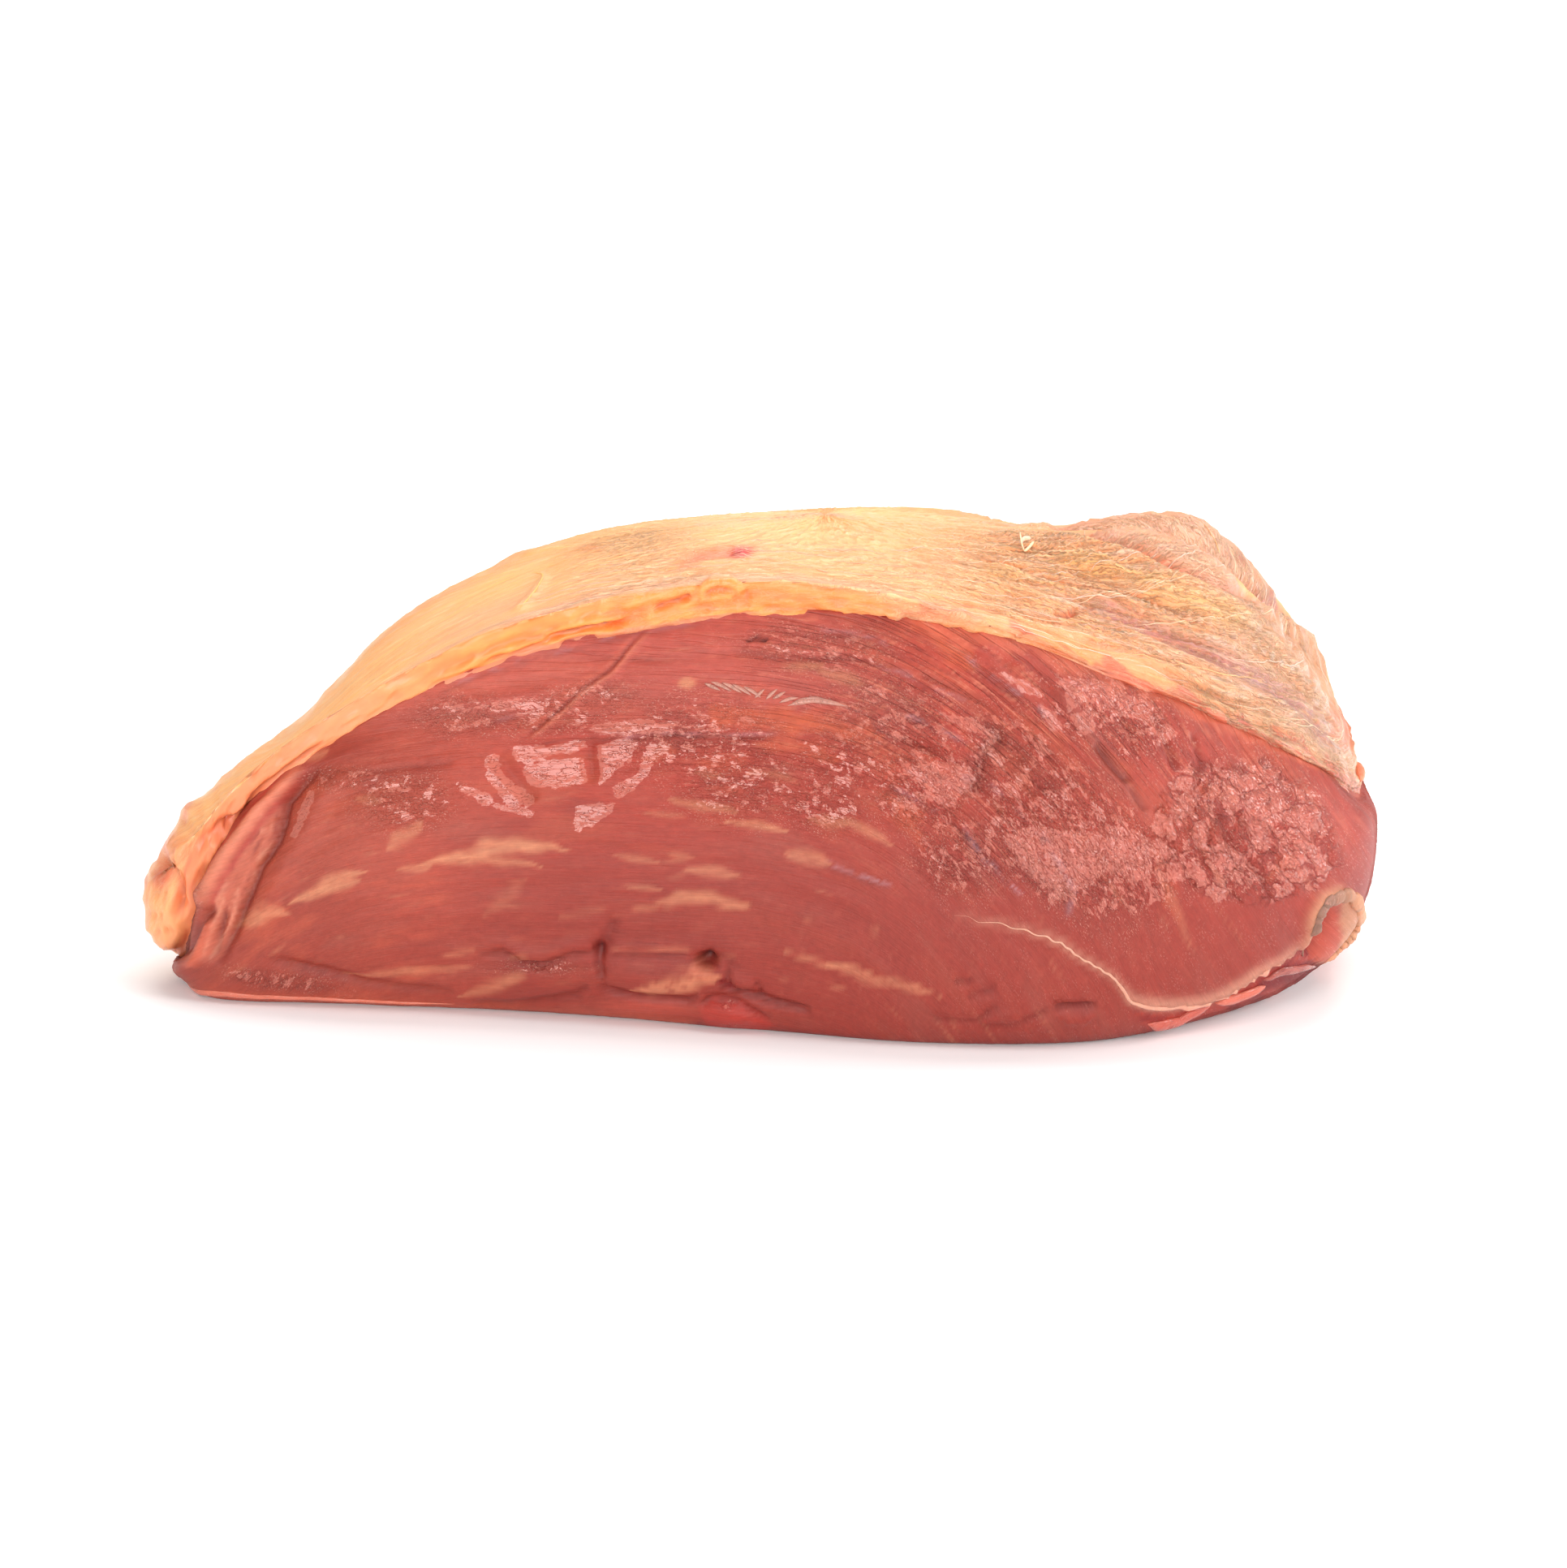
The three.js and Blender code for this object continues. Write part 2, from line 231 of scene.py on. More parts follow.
def side_rows(values, outward, shares):
    """Side of the lean: a quarter ellipse from the foot out to the widest line, then a face that
    leans back to the border by the square of its height."""
    foot, belly, border, lean = (values[None, :, k] for k in (2, 3, 4, 5))
    share = shares[:, None]
    low = share < 1 - FACE_SHARE
    part = np.where(low, share / (1 - FACE_SHARE), (share - 1 + FACE_SHARE) / FACE_SHARE)
    inward = np.where(low, foot * (1 - np.sin(part * math.pi / 2)), lean * part ** 2)
    height = np.where(low, belly * (1 - np.cos(part * math.pi / 2)), belly + (border - belly) * part)
    plan = values[None, :, :2] - outward[None] * inward[..., None]
    return np.concatenate([plan, height[..., None]], 2)


def top_rows(u, values, outward, shares, over):
    """Top of the lean (over = 0) or of the fat (over = 1): from the border or the fat's lip it rises
    to the crown by 1 - (1 - share)^dome, plus the lobes. Further in, it follows softened sections."""
    weights = {-2: 1, -1: 2, 0: 3, 1: 2, 2: 1}
    soft = sum(w * np.roll(SECTIONS, k, 0) for k, w in weights.items()) / 9
    calm = closed_curve(soft, u)[None]
    share = shares[:, None]
    mix = np.minimum(1, 1.6 * share)
    border = values[None, :, 4] * (1 - mix) + calm[..., 4] * mix
    lip_up = over * (values[None, :, 7] * (1 - mix) + calm[..., 7] * mix)
    dome = values[None, :, 8] * (1 - mix) + calm[..., 8] * mix
    edge = values[:, :2] - outward * (values[:, 5] - over * values[:, 6])[:, None]
    plan = edge[None] * (1 - share[..., None]) + CROWN[:2] * share[..., None]
    start = border + lip_up
    crown = CROWN[2] - (1 - over) * FAT_THICKNESS
    height = start + (crown - start) * (1 - (1 - share) ** dome)
    height = height + lobe_height(plan[..., 0], plan[..., 1]) * np.minimum(1, 5 * share)
    return np.concatenate([plan, height[..., None]], 2)


def grid_normals(points):
    """Unit normals of a grid of points whose rows close on themselves."""
    along = np.roll(points, -1, 1) - np.roll(points, 1, 1)
    up = np.gradient(points, axis=0)
    normal = np.cross(along, up)
    return normal / np.maximum(np.linalg.norm(normal, axis=2, keepdims=True), 1e-9)


def seen(points):
    """Pixel of the frame in which each point is seen."""
    forward = -towards_eye
    upward = np.array([0, math.sin(VIEW_TILT), math.cos(VIEW_TILT)])
    away = points - AIM
    scale = VIEW_DISTANCE / (VIEW_DISTANCE + away @ forward) / PIXEL
    middle = FRAME_SIZE / 2
    return np.stack([middle[0] + away[..., 0] * scale, middle[1] - (away @ upward) * scale], -1)


noise_draw = np.random.default_rng(LEAN_SEED)
NOISE_TURNS = noise_draw.permutation(NOISE_SIZE)
NOISE_SLOPES = noise_draw.normal(size=(NOISE_SIZE, 3))
NOISE_SLOPES /= np.linalg.norm(NOISE_SLOPES, axis=1)[:, None]


def noise(x, y, z=0.0, octaves=1):
    """Gradient noise, about -1 to 1: random slopes at whole-number corners, blended by S curves.
    Each further octave is twice as fine and half as strong."""
    total = np.zeros(np.broadcast(x, y, z).shape)
    for octave in range(octaves):
        p = np.stack(np.broadcast_arrays(x, y, z), -1) * 2.0 ** octave + 37.7 * octave
        cell = np.floor(p).astype(int)
        f = p - cell
        curve = f * f * f * (f * (f * 6 - 15) + 10)
        value = 0
        for corner in range(8):
            step = np.array([corner & 1, corner >> 1 & 1, corner >> 2 & 1])
            c = cell + step
            pick = 0
            for axis in range(3):
                pick = NOISE_TURNS[(pick + c[..., axis]) % NOISE_SIZE]
            slope = np.einsum("...k,...k", NOISE_SLOPES[pick], f - step)
            share = np.prod(np.where(step == 1, curve, 1 - curve), -1)
            value = value + slope * share
        total += value * 1.6 / 2.0 ** octave
    return total


class Chart:
    """Measures on a grid of points as they are seen from the front, where they face the camera."""

    def __init__(self, points, facing):
        self.spot = seen(points)
        self.facing = facing
        self.shape = facing.shape
        self.flat = self.spot.reshape(-1, 2)

    def path(self, path, reach, push=0.0, seed=0.0):
        """For each point near a path: its index, its distance in pixels, its place along the path
        from 0 to 1, and its side of it (+1 on the right hand as the path runs). A push shifts the
        points by noise first, which makes every outline wavy."""
        path = np.array(path, float)
        low = path.min(0) - reach
        high = path.max(0) + reach
        index = np.nonzero(((self.flat > low) & (self.flat < high)).all(1))[0]
        spot = self.flat[index]
        if push:
            shift = [noise(spot[:, 0] / 34, spot[:, 1] / 22, seed + 7.0 * axis, 2) for axis in range(2)]
            spot = spot + push * np.stack(shift, 1)
        best = np.full(len(index), 1e9)
        place = np.zeros(len(index))
        side = np.ones(len(index))
        lengths = np.linalg.norm(np.diff(path, axis=0), axis=1)
        starts = np.concatenate([[0], np.cumsum(lengths)])
        for a, b, length, start in zip(path[:-1], path[1:], lengths, starts):
            t = np.clip((spot - a) @ (b - a) / length ** 2, 0, 1)
            off = spot - a - t[:, None] * (b - a)
            distance = np.linalg.norm(off, axis=1)
            closer = distance < best
            best = np.where(closer, distance, best)
            place = np.where(closer, (start + t * length) / starts[-1], place)
            side = np.where(closer, np.sign((b - a)[0] * off[:, 1] - (b - a)[1] * off[:, 0]), side)
        return index, best, place, side

    def spread(self, index, values):
        """Mask with values at some points of the grid, where they face the camera, and 0 elsewhere."""
        mask = np.zeros(len(self.flat))
        mask[index] = values
        return mask.reshape(self.shape) * self.facing

    def line(self, path, half, ends=0.15):
        """Soft line, a bell of the distance to the path, that thins out towards both ends."""
        index, distance, place, _ = self.path(path, half * 3)
        fade = np.clip(np.minimum(place, 1 - place) / max(ends, 1e-6), 0, 1) ** 0.5 if ends else 1
        return self.spread(index, np.exp(-(distance / half) ** 2) * fade)

    def lens(self, path, half, soft=0.8, rag=0.3, seed=0.0):
        """Streak with pointed ends and a wavy outline: widest in the middle of the path."""
        index, distance, place, _ = self.path(path, half * 2 + 8, rag * half * 2, seed)
        width = half * np.clip(4 * place * (1 - place), 0, 1) + 0.6
        return self.spread(index, 1 - smooth(1 - soft, 1 + soft * 0.6, distance / width))

    def roll(self, path, half, ends=0.12):
        """Round roll: half an ellipse across the path, dying down at both ends, sharp at its sides."""
        index, distance, place, _ = self.path(path, half + 2)
        width = half * np.clip(np.minimum(place, 1 - place) / ends, 0, 1) ** 0.5 + 0.01
        return self.spread(index, np.sqrt(np.clip(1 - (distance / width) ** 2, 0, 1)) * (width / half))

    def region(self, corners, soft, rag=0.0, seed=0.0):
        """Area inside a closed outline, by counting the edges crossed on the way out, with an edge
        as soft as the distance to the outline says."""
        corners = np.array(corners, float)
        index, distance, _, _ = self.path(np.concatenate([corners, corners[:1]]), soft * 3 + rag + 1)
        spot = self.flat[index]
        inside = np.zeros(len(index), bool)
        for a, b in zip(corners, np.roll(corners, -1, 0)):
            spans = (a[1] > spot[:, 1]) != (b[1] > spot[:, 1])
            cut = a[0] + (spot[:, 1] - a[1]) / (b[1] - a[1] + 1e-9) * (b[0] - a[0])
            inside ^= spans & (spot[:, 0] < cut)
        wave = rag * noise(spot[:, 0] / 12, spot[:, 1] / 8, seed, 2)
        signed = np.where(inside, distance, -distance) + wave
        return self.spread(index, smooth(-soft, soft, signed))

    def spot_at(self, centre, size, turn=0.0, power=2.0):
        """Soft patch: a bell over a turned ellipse (power 2), or flatter inside (power 4 and up)."""
        off = self.spot - np.array(centre, float)
        c = math.cos(math.radians(turn))
        s = math.sin(math.radians(turn))
        along = (off[..., 0] * c + off[..., 1] * s) / size[0]
        across = (-off[..., 0] * s + off[..., 1] * c) / size[1]
        return np.exp(-(along ** 2 + across ** 2) ** (power / 2)) * self.facing


def colour(red, green, blue):
    """Linear colour from display values of 0 to 255."""
    value = np.array([red, green, blue]) / 255
    return np.where(value <= 0.04045, value / 12.92, ((value + 0.055) / 1.055) ** 2.4)


def blend(base, over, mask):
    """Lays one colour over another by a mask."""
    return base * (1 - mask[..., None]) + over * mask[..., None]


def layered(base, layers):
    """Lays colours over a base in turn, each by its mask."""
    for over, mask in layers:
        base = blend(base, over, mask)
    return base


def skin_object(name, skins):
    """Closed skins, each through rings of points from a first to a last middle point, with its looks
    (per-point values) stored as attributes. Columns run anticlockwise, so faces point out."""
    points = []
    faces = []
    stored = {}
    start = 0
    for rings, first, last, looks in skins:
        rows, count = rings.shape[:2]
        points.append(np.concatenate([[first], rings.reshape(-1, 3), [last]]) * MM)
        i = np.arange(count)
        j = (i + 1) % count
        row = 1 + np.arange(rows - 1)[:, None] * count
        quads = np.stack([row + i, row + j, row + count + j, row + count + i], -1).reshape(-1, 4)
        last_row = 1 + (rows - 1) * count
        end = rows * count + 1
        start_fan = np.stack([np.zeros(count, int), 1 + j, 1 + i], 1)
        end_fan = np.stack([last_row + i, last_row + j, np.full(count, end)], 1)
        faces += (quads + start).tolist() + (start_fan + start).tolist() + (end_fan + start).tolist()
        start += end + 1
        for label, values in looks.items():
            flat = values.reshape(rows * count, -1)
            stored.setdefault(label, []).append(np.concatenate([flat[:1], flat, flat[-1:]]))
    mesh = bpy.data.meshes.new(name)
    mesh.from_pydata(np.concatenate(points).tolist(), [], faces)
    mesh.shade_smooth()
    for label, parts in stored.items():
        values = np.concatenate(parts).astype(np.float32)
        kind = "FLOAT" if values.shape[1] == 1 else "FLOAT_VECTOR"
        field = "value" if values.shape[1] == 1 else "vector"
        mesh.attributes.new(label, kind, "POINT").data.foreach_set(field, values.ravel())
    piece = bpy.data.objects.new(name, mesh)
    scene.collection.objects.link(piece)
    return piece


columns = even_columns(COLUMNS)
section_values, outward = outline_at(columns)
low_shares = (1 - FACE_SHARE) * np.linspace(0, 1, FOOT_ROWS, endpoint=False)
high_shares = 1 - FACE_SHARE + FACE_SHARE * np.linspace(0, 1, SIDE_ROWS - FOOT_ROWS)
lean_shares = np.concatenate([low_shares, high_shares])
lean_base = side_rows(section_values, outward, lean_shares)
lean_normal = grid_normals(lean_base)
lean_facing = smooth(-0.05, 0.25, lean_normal @ towards_eye) * np.ones(lean_base.shape[:2])
face = Chart(lean_base, lean_facing)
rim = Chart(lean_base, smooth(-0.35, -0.1, lean_normal @ towards_eye) * np.ones(lean_base.shape[:2]))
fx, fy = np.moveaxis(face.spot, 2, 0)            # the pixel in which each point is seen
x, y, z = np.moveaxis(lean_base, 2, 0)

# Grain of the cut face: it runs level at the thin half and turns down at the thick end. Seen from
# the front, its slope (down for one across) is set at a few places; along and across are distances.
GRAIN = [(180, -0.5), (300, -0.42), (450, -0.15), (600, -0.02), (900, 0.05), (1050, 0.25), (1200, 0.62),
         (1350, 1.05), (1450, 1.5), (1700, 1.9)]
grain_x = np.linspace(100, 1800, 1701)
grain_slope = np.interp(grain_x, [g[0] for g in GRAIN], [g[1] for g in GRAIN])
grain_drop = np.concatenate([[0], np.cumsum(grain_slope[:-1])])
slope_here = np.interp(fx, grain_x, grain_slope)
steep = np.sqrt(1 + slope_here ** 2)
across_front = (fy - np.interp(fx, grain_x, grain_drop)) * PIXEL
grain_run = np.concatenate([[0], np.cumsum(np.sqrt(1 + grain_slope[:-1] ** 2))])
along_front = np.interp(fx, grain_x, grain_run) * PIXEL
GRAIN_MIDDLE = 122.0
off_middle = (across_front - GRAIN_MIDDLE) / steep
along_front = along_front + slope_here * off_middle
across_front = GRAIN_MIDDLE + off_middle
behind = 1 - smooth(0.0, 0.2, lean_normal @ towards_eye)
along_back = -x + 400
across_back = -z * 0.95 + 0.25 * x + 300
along = along_front * (1 - behind) + along_back * behind
across = across_front * (1 - behind) + across_back * behind

# Forms of the cut face. Paths and places are in pixels of the frame, heights in millimetres.
SEAM = [(392, 948), (372, 964), (352, 986), (349, 1012), (342, 1036), (330, 1054), (319, 1069),
        (313, 1086), (302, 1111), (289, 1144), (278, 1166), (269, 1190)]
SEAM_BANK = [(410, 958), (390, 985), (372, 1028), (348, 1070), (330, 1110), (312, 1150)]
FOLD = [(372, 942), (344, 972), (322, 998), (304, 1024), (286, 1050), (270, 1076), (258, 1100),
        (250, 1118)]
STRIP = [(340, 996), (326, 1004), (306, 1026), (288, 1052), (272, 1082), (266, 1110), (252, 1136),
         (236, 1180), (266, 1184), (286, 1142), (300, 1110), (316, 1070), (332, 1046), (342, 1014)]
LOW_ROLL = [(256, 1130), (248, 1158), (240, 1190)]
LONG_CUT = [(800, 771), (776, 795), (752, 825), (711, 852), (690, 873), (661, 897), (647, 908)]
STEP = [(642, 919), (711, 911), (770, 911), (808, 905), (861, 908), (960, 908)]
SLANT_GROOVE = [(1233, 896), (1208, 932), (1202, 960), (1185, 980)]
LEFT_CREASE = [(329, 1182), (354, 1188), (374, 1194), (406, 1200), (431, 1208), (451, 1214), (493, 1219),
               (560, 1224)]
EYE_CREASE = [(588, 1179), (618, 1173), (642, 1186), (669, 1188), (690, 1181), (706, 1175), (733, 1174)]


def moved(path, right, down):
    """A path shifted by pixels."""
    return [(px + right, py + down) for px, py in path]


CREASES = [  # path, half width, height, darkness of the painted shade in it
    (SEAM, 6, -1.5, 0.6), (SEAM, 22, -0.8, 0.0), (SEAM_BANK, 16, 0.7, 0.0), (FOLD, 10, 1.8, 0.0),
    ([(262, 1112), (250, 1134), (236, 1160), (226, 1182)], 6, -1.2, 0.5), (LOW_ROLL, 8, 0.9, 0.0),
    ([(276, 1120), (268, 1150), (262, 1184)], 5, -0.9, 0.5),
    (LEFT_CREASE, 8, -1.0, 0.35), (LEFT_CREASE, 3, -0.5, 0.35),
    ([(440, 952), (500, 946), (560, 940)], 4, -0.4, 0.2),
    (EYE_CREASE, 4, -1.3, 0.5), (moved(EYE_CREASE, 0, -9), 8, 0.7, 0.0),
    ([(740, 1171), (738, 1187), (742, 1200), (739, 1208)], 6, -1.3, 0.45),
    ([(758, 1128), (750, 1150), (742, 1166)], 9, -0.8, 0.35),
    ([(752, 1164), (770, 1171), (797, 1171), (821, 1166)], 4, 0.5, 0.0),
    ([(725, 1214), (711, 1227), (674, 1232), (626, 1238), (580, 1236)], 5, -1.3, 0.45),
    ([(740, 1210), (746, 1220), (781, 1228), (821, 1231), (848, 1233), (862, 1226)], 5, -1.7, 0.6),
    ([(884, 1208), (896, 1216), (915, 1222), (934, 1227), (960, 1236), (1000, 1246)], 4, -2.0, 0.8),
    ([(860, 1240), (872, 1232), (888, 1229), (906, 1232), (930, 1244), (950, 1256)], 4, -2.0, 0.8),
    ([(864, 1162), (880, 1172), (902, 1184), (912, 1192)], 3, -0.6, 0.3),
    ([(752, 1172), (770, 1177), (796, 1177), (830, 1175), (858, 1181)], 3, -0.6, 0.35),
    ([(898, 1190), (897, 1204), (902, 1214)], 3, -0.9, 0.5),
    ([(930, 1206), (937, 1218), (936, 1228)], 3, -0.7, 0.4),
    ([(1176, 1210), (1190, 1211), (1196, 1208)], 3, -0.9, 0.6),
    ([(1190, 1229), (1211, 1223), (1229, 1217)], 4, -0.8, 0.4),
    ([(1143, 1252), (1173, 1257), (1202, 1258), (1217, 1247), (1231, 1238)], 4, -1.0, 0.4),
    ([(1205, 1263), (1249, 1261), (1275, 1252), (1293, 1244)], 4, -1.0, 0.4),
    ([(1296, 1238), (1325, 1241), (1352, 1240)], 4, -1.8, 0.8),
    ([(1299, 1246), (1317, 1256), (1334, 1258), (1349, 1246)], 4, 0.8, 0.0),
    (LONG_CUT, 2.5, -0.5, 0.35), (moved(LONG_CUT, 5, 4), 3.5, 0.5, 0.0),
    (STEP, 1.8, -0.5, 0.4), (moved(STEP, 0, -7), 6, 0.25, 0.0),
    ([(919, 790), (932, 787), (947, 790)], 2.6, -1.2, 1.0),
    ([(920, 796), (932, 795), (944, 797)], 3, 0.7, 0.0),
    ([(612, 929), (628, 953), (658, 988)], 9, -0.9, 0.1),
    ([(725, 911), (727, 935), (730, 964)], 8, -0.8, 0.15),
    (SLANT_GROOVE, 10, -1.0, 0.3), ([(1350, 915), (1367, 938), (1392, 966)], 5, -1.3, 0.5),
    ([(1392, 966), (1400, 985), (1410, 1000)], 4, -0.7, 0.3),
    ([(1554, 932), (1566, 945)], 5, -0.9, 0.6),
    ([(1539, 1062), (1556, 1080), (1566, 1104)], 4, -0.7, 0.3),
    ([(560, 868), (620, 861), (690, 850)], 6, 0.5, 0.0),
    ([(610, 800), (680, 782), (760, 770)], 4, -0.5, 0.3),
    ([(900, 800), (960, 812), (1040, 812), (1100, 822)], 4, -0.6, 0.35),
    ([(960, 780), (1020, 788), (1080, 800)], 4, -0.5, 0.3),
    ([(700, 800), (760, 812), (830, 815)], 3, -0.35, 0.2),
    ([(1130, 830), (1180, 850), (1225, 872)], 4, -0.5, 0.3),
    ([(1100, 905), (1150, 925), (1195, 950)], 4, -0.5, 0.25),
    ([(1160, 1000), (1200, 1040), (1240, 1088)], 4, -0.6, 0.3),
    ([(1250, 1000), (1290, 1040), (1308, 1090)], 4, -0.5, 0.2),
    ([(1420, 880), (1440, 920), (1452, 950)], 5, -1.0, 0.5),
    ([(1400, 930), (1392, 900), (1372, 880)], 4, -0.6, 0.3),
    ([(1470, 900), (1478, 930), (1484, 950)], 4, -0.7, 0.4),
    ([(430, 950), (400, 990), (380, 1030)], 12, 0.3, 0.0),
]
# Knobs (+) and holes (-): centre, half width and half height, height.
KNOBS = [
    ((738, 1169), (8, 7), -2.6), ((870, 1183), (12, 8), -5.0), ((812, 1204), (60, 22), 1.6),
    ((660, 1209), (64, 19), 1.0), ((1222, 803), (26, 10), 1.2),
    ((1262, 818), (14, 10), 1.0), ((1688, 1000), (15, 26), 1.2), ((440, 1090), (70, 70), 0.8),
    ((915, 1212), (22, 12), 0.9), ((1235, 1260), (60, 14), 0.8), ((1420, 905), (24, 18), 0.9),
    ((1335, 855), (30, 16), 0.7), ((222, 1192), (20, 16), 2.4), ((250, 1104), (9, 12), 1.0),
    ((252, 1216), (30, 8), 0.8), ((904, 1250), (40, 17), 3.0), ((800, 1240), (60, 8), 0.6),
]
relief = np.zeros(lean_base.shape[:2])
crease_shade = np.zeros(lean_base.shape[:2])
# Each crease is sunk or raised by its height, and its darkness is painted shade, laid on in SHADOW_RED.
for path, half, height, darkness in CREASES:
    line = face.line(path, half)
    relief += height * line
    crease_shade = np.maximum(crease_shade, 0.8 * darkness * line)
for centre, size, height in KNOBS:
    relief += height * face.spot_at(centre, size)

MEMBRANE = [(1173, 1129), (1196, 1131), (1211, 1137), (1237, 1139), (1267, 1147), (1290, 1154),
            (1311, 1163), (1325, 1176), (1349, 1189), (1372, 1203), (1385, 1221), (1392, 1233),
            (1415, 1241), (1444, 1243), (1479, 1241), (1509, 1231), (1534, 1216), (1551, 1203),
            (1576, 1191), (1601, 1171), (1611, 1156)]
GRISTLE = [(1604, 1172), (1613, 1150), (1611, 1136), (1616, 1120), (1626, 1104), (1641, 1096),
           (1654, 1100), (1663, 1110), (1666, 1126), (1662, 1142), (1651, 1158), (1640, 1172),
           (1622, 1188)]
GRISTLE_SLIT = [(1639, 1118), (1636, 1139), (1624, 1156), (1614, 1178)]
membrane_line = face.line(MEMBRANE, 6, ends=0.3)
gristle_line = face.line(GRISTLE, 9, ends=0.05)
slit_line = face.line(GRISTLE_SLIT, 8, ends=0.1)
relief += 0.5 * membrane_line + 1.2 * gristle_line - 3.2 * slit_line
strip_mask = face.region(STRIP, 6, rag=4, seed=80)
FORM_REACH = 90                                  # how far to the side of its path a form is drawn
index, beside, place, _ = face.path(SEAM, FORM_REACH)
strip_streak = np.zeros(relief.size)
strip_streak[index] = noise(place * 5, beside / 8.0, 84.0, 3)
strip_streak = strip_streak.reshape(relief.shape)
relief += strip_mask * (0.3 * strip_streak - 0.35)
index, below, place, side = face.path(MEMBRANE, FORM_REACH)
under_membrane = face.spread(index, (side > 0) * np.exp(-below / 30) * smooth(0.5, 0.75, place))
relief -= 1.8 * under_membrane

thick_face = smooth(1000, 1250, fx) * lean_facing
VALLEY = [(1300, 850), (1322, 872), (1345, 905), (1372, 945), (1400, 985), (1424, 1016)]
valley = face.line(VALLEY, 8, ends=0.2)

# Wet places shine: smooth patches with crisp edges, and the ripples of the thick end. The lean's
# finish makes them glossy and also paints their glints paler, as painted highlight.
GLOSS = [
    [(605, 866), (644, 861), (672, 864), (667, 883), (653, 892), (653, 872), (611, 875)],
    [(597, 934), (611, 931), (616, 951), (630, 965), (653, 982), (658, 990), (630, 996), (602, 962)],
    [(560, 965), (577, 970), (602, 979), (608, 990), (625, 996), (658, 999), (655, 1007), (627, 1001),
     (594, 990)],
    [(633, 920), (672, 920), (717, 911), (723, 923), (672, 931), (650, 942), (633, 934)],
    [(641, 948), (678, 937), (717, 934), (723, 962), (695, 970), (655, 968)],
    [(736, 920), (762, 911), (785, 914), (776, 937), (757, 951), (740, 965)],
    [(802, 917), (824, 917), (821, 928), (804, 937), (799, 954), (774, 979), (757, 982), (757, 970),
     (785, 954)],
    [(709, 993), (757, 990), (754, 999), (729, 1018), (709, 1024)],
    [(717, 897), (799, 886), (841, 900), (757, 906)],
    [(380, 974), (388, 976), (384, 1000), (368, 1032), (361, 1030)],
    [(1112, 946), (1157, 938), (1196, 943), (1199, 969), (1168, 994), (1140, 977)],
    [(1219, 901), (1230, 901), (1222, 927), (1210, 927)],
    [(1180, 955), (1202, 955), (1196, 974), (1180, 969)],
    [(1098, 986), (1126, 988), (1132, 1002), (1107, 994)],
    [(1239, 1028), (1281, 1016), (1323, 1030), (1379, 1016), (1421, 1045), (1415, 1087), (1365, 1073),
     (1323, 1101), (1281, 1089), (1253, 1059)],
    [(1281, 871), (1297, 876), (1311, 901), (1295, 896)],
    [(1309, 837), (1351, 837), (1421, 871), (1418, 887), (1379, 882), (1337, 862), (1317, 876)],
    [(1487, 1045), (1510, 1039), (1539, 1060), (1528, 1087), (1500, 1080)],
    [(1467, 965), (1479, 968), (1476, 997)], [(1442, 1000), (1455, 992), (1464, 1012), (1450, 1017)],
    [(1529, 990), (1556, 982), (1576, 1006), (1560, 1032)],
    [(1579, 1040), (1600, 1034), (1614, 1050), (1590, 1059)], [(1601, 1002), (1616, 1004), (1612, 1019)],
    [(1400, 905), (1440, 890), (1452, 905), (1436, 912)],
    [(1320, 880), (1345, 876), (1350, 900), (1330, 905)],
    [(1160, 880), (1200, 885), (1225, 905), (1190, 900)],
    [(1230, 830), (1262, 838), (1290, 860), (1262, 852)],
]


def patches(outlines, soft, rag, seed):
    """The largest of several areas, each made ragged by its own noise."""
    areas = [face.region(outline, soft, rag, seed + number) for number, outline in enumerate(outlines)]
    return np.maximum.reduce(areas)


wet = patches(GLOSS, 5, 3, 100)
film = wet.copy()                                # where a smooth film of moisture bridges the fibres
DAMP = [  # centre, half sizes, turn: where drops and ripples glint, glossy and with painted highlights
    ((500, 985), (70, 40), 0), ((700, 872), (110, 34), -12), ((860, 905), (110, 60), 0),
    ((910, 960), (90, 60), 0), ((1100, 880), (100, 50), 15), ((1180, 1050), (60, 60), 40),
    ((1320, 1030), (150, 90), 40), ((1370, 880), (90, 60), 20), ((1540, 1010), (90, 90), 0),
    ((1130, 985), (70, 50), 20), ((570, 880), (70, 30), 0), ((1250, 930), (80, 50), 40),
    ((1010, 800), (110, 36), 6), ((430, 960), (60, 16), 0), ((660, 1192), (70, 7), 0),
    ((896, 1236), (10, 4), 0), ((902, 1257), (12, 3), 0), ((340, 1208), (90, 12), 8),
    ((1040, 935), (70, 50), 10), ((1010, 990), (70, 40), 10), ((240, 1100), (16, 30), 20),
]
damp = np.zeros(fx.shape)
for centre, size, turn in DAMP:
    damp = np.maximum(damp, face.spot_at(centre, size, turn, 4))
wet = np.maximum(wet, behind * 0.26 * smooth(0.0, 0.6, noise(x / 9, z / 6, y / 9, 2)))
ripple = np.clip(0.08 + 0.75 * damp + 0.12 * thick_face, 0, 1)

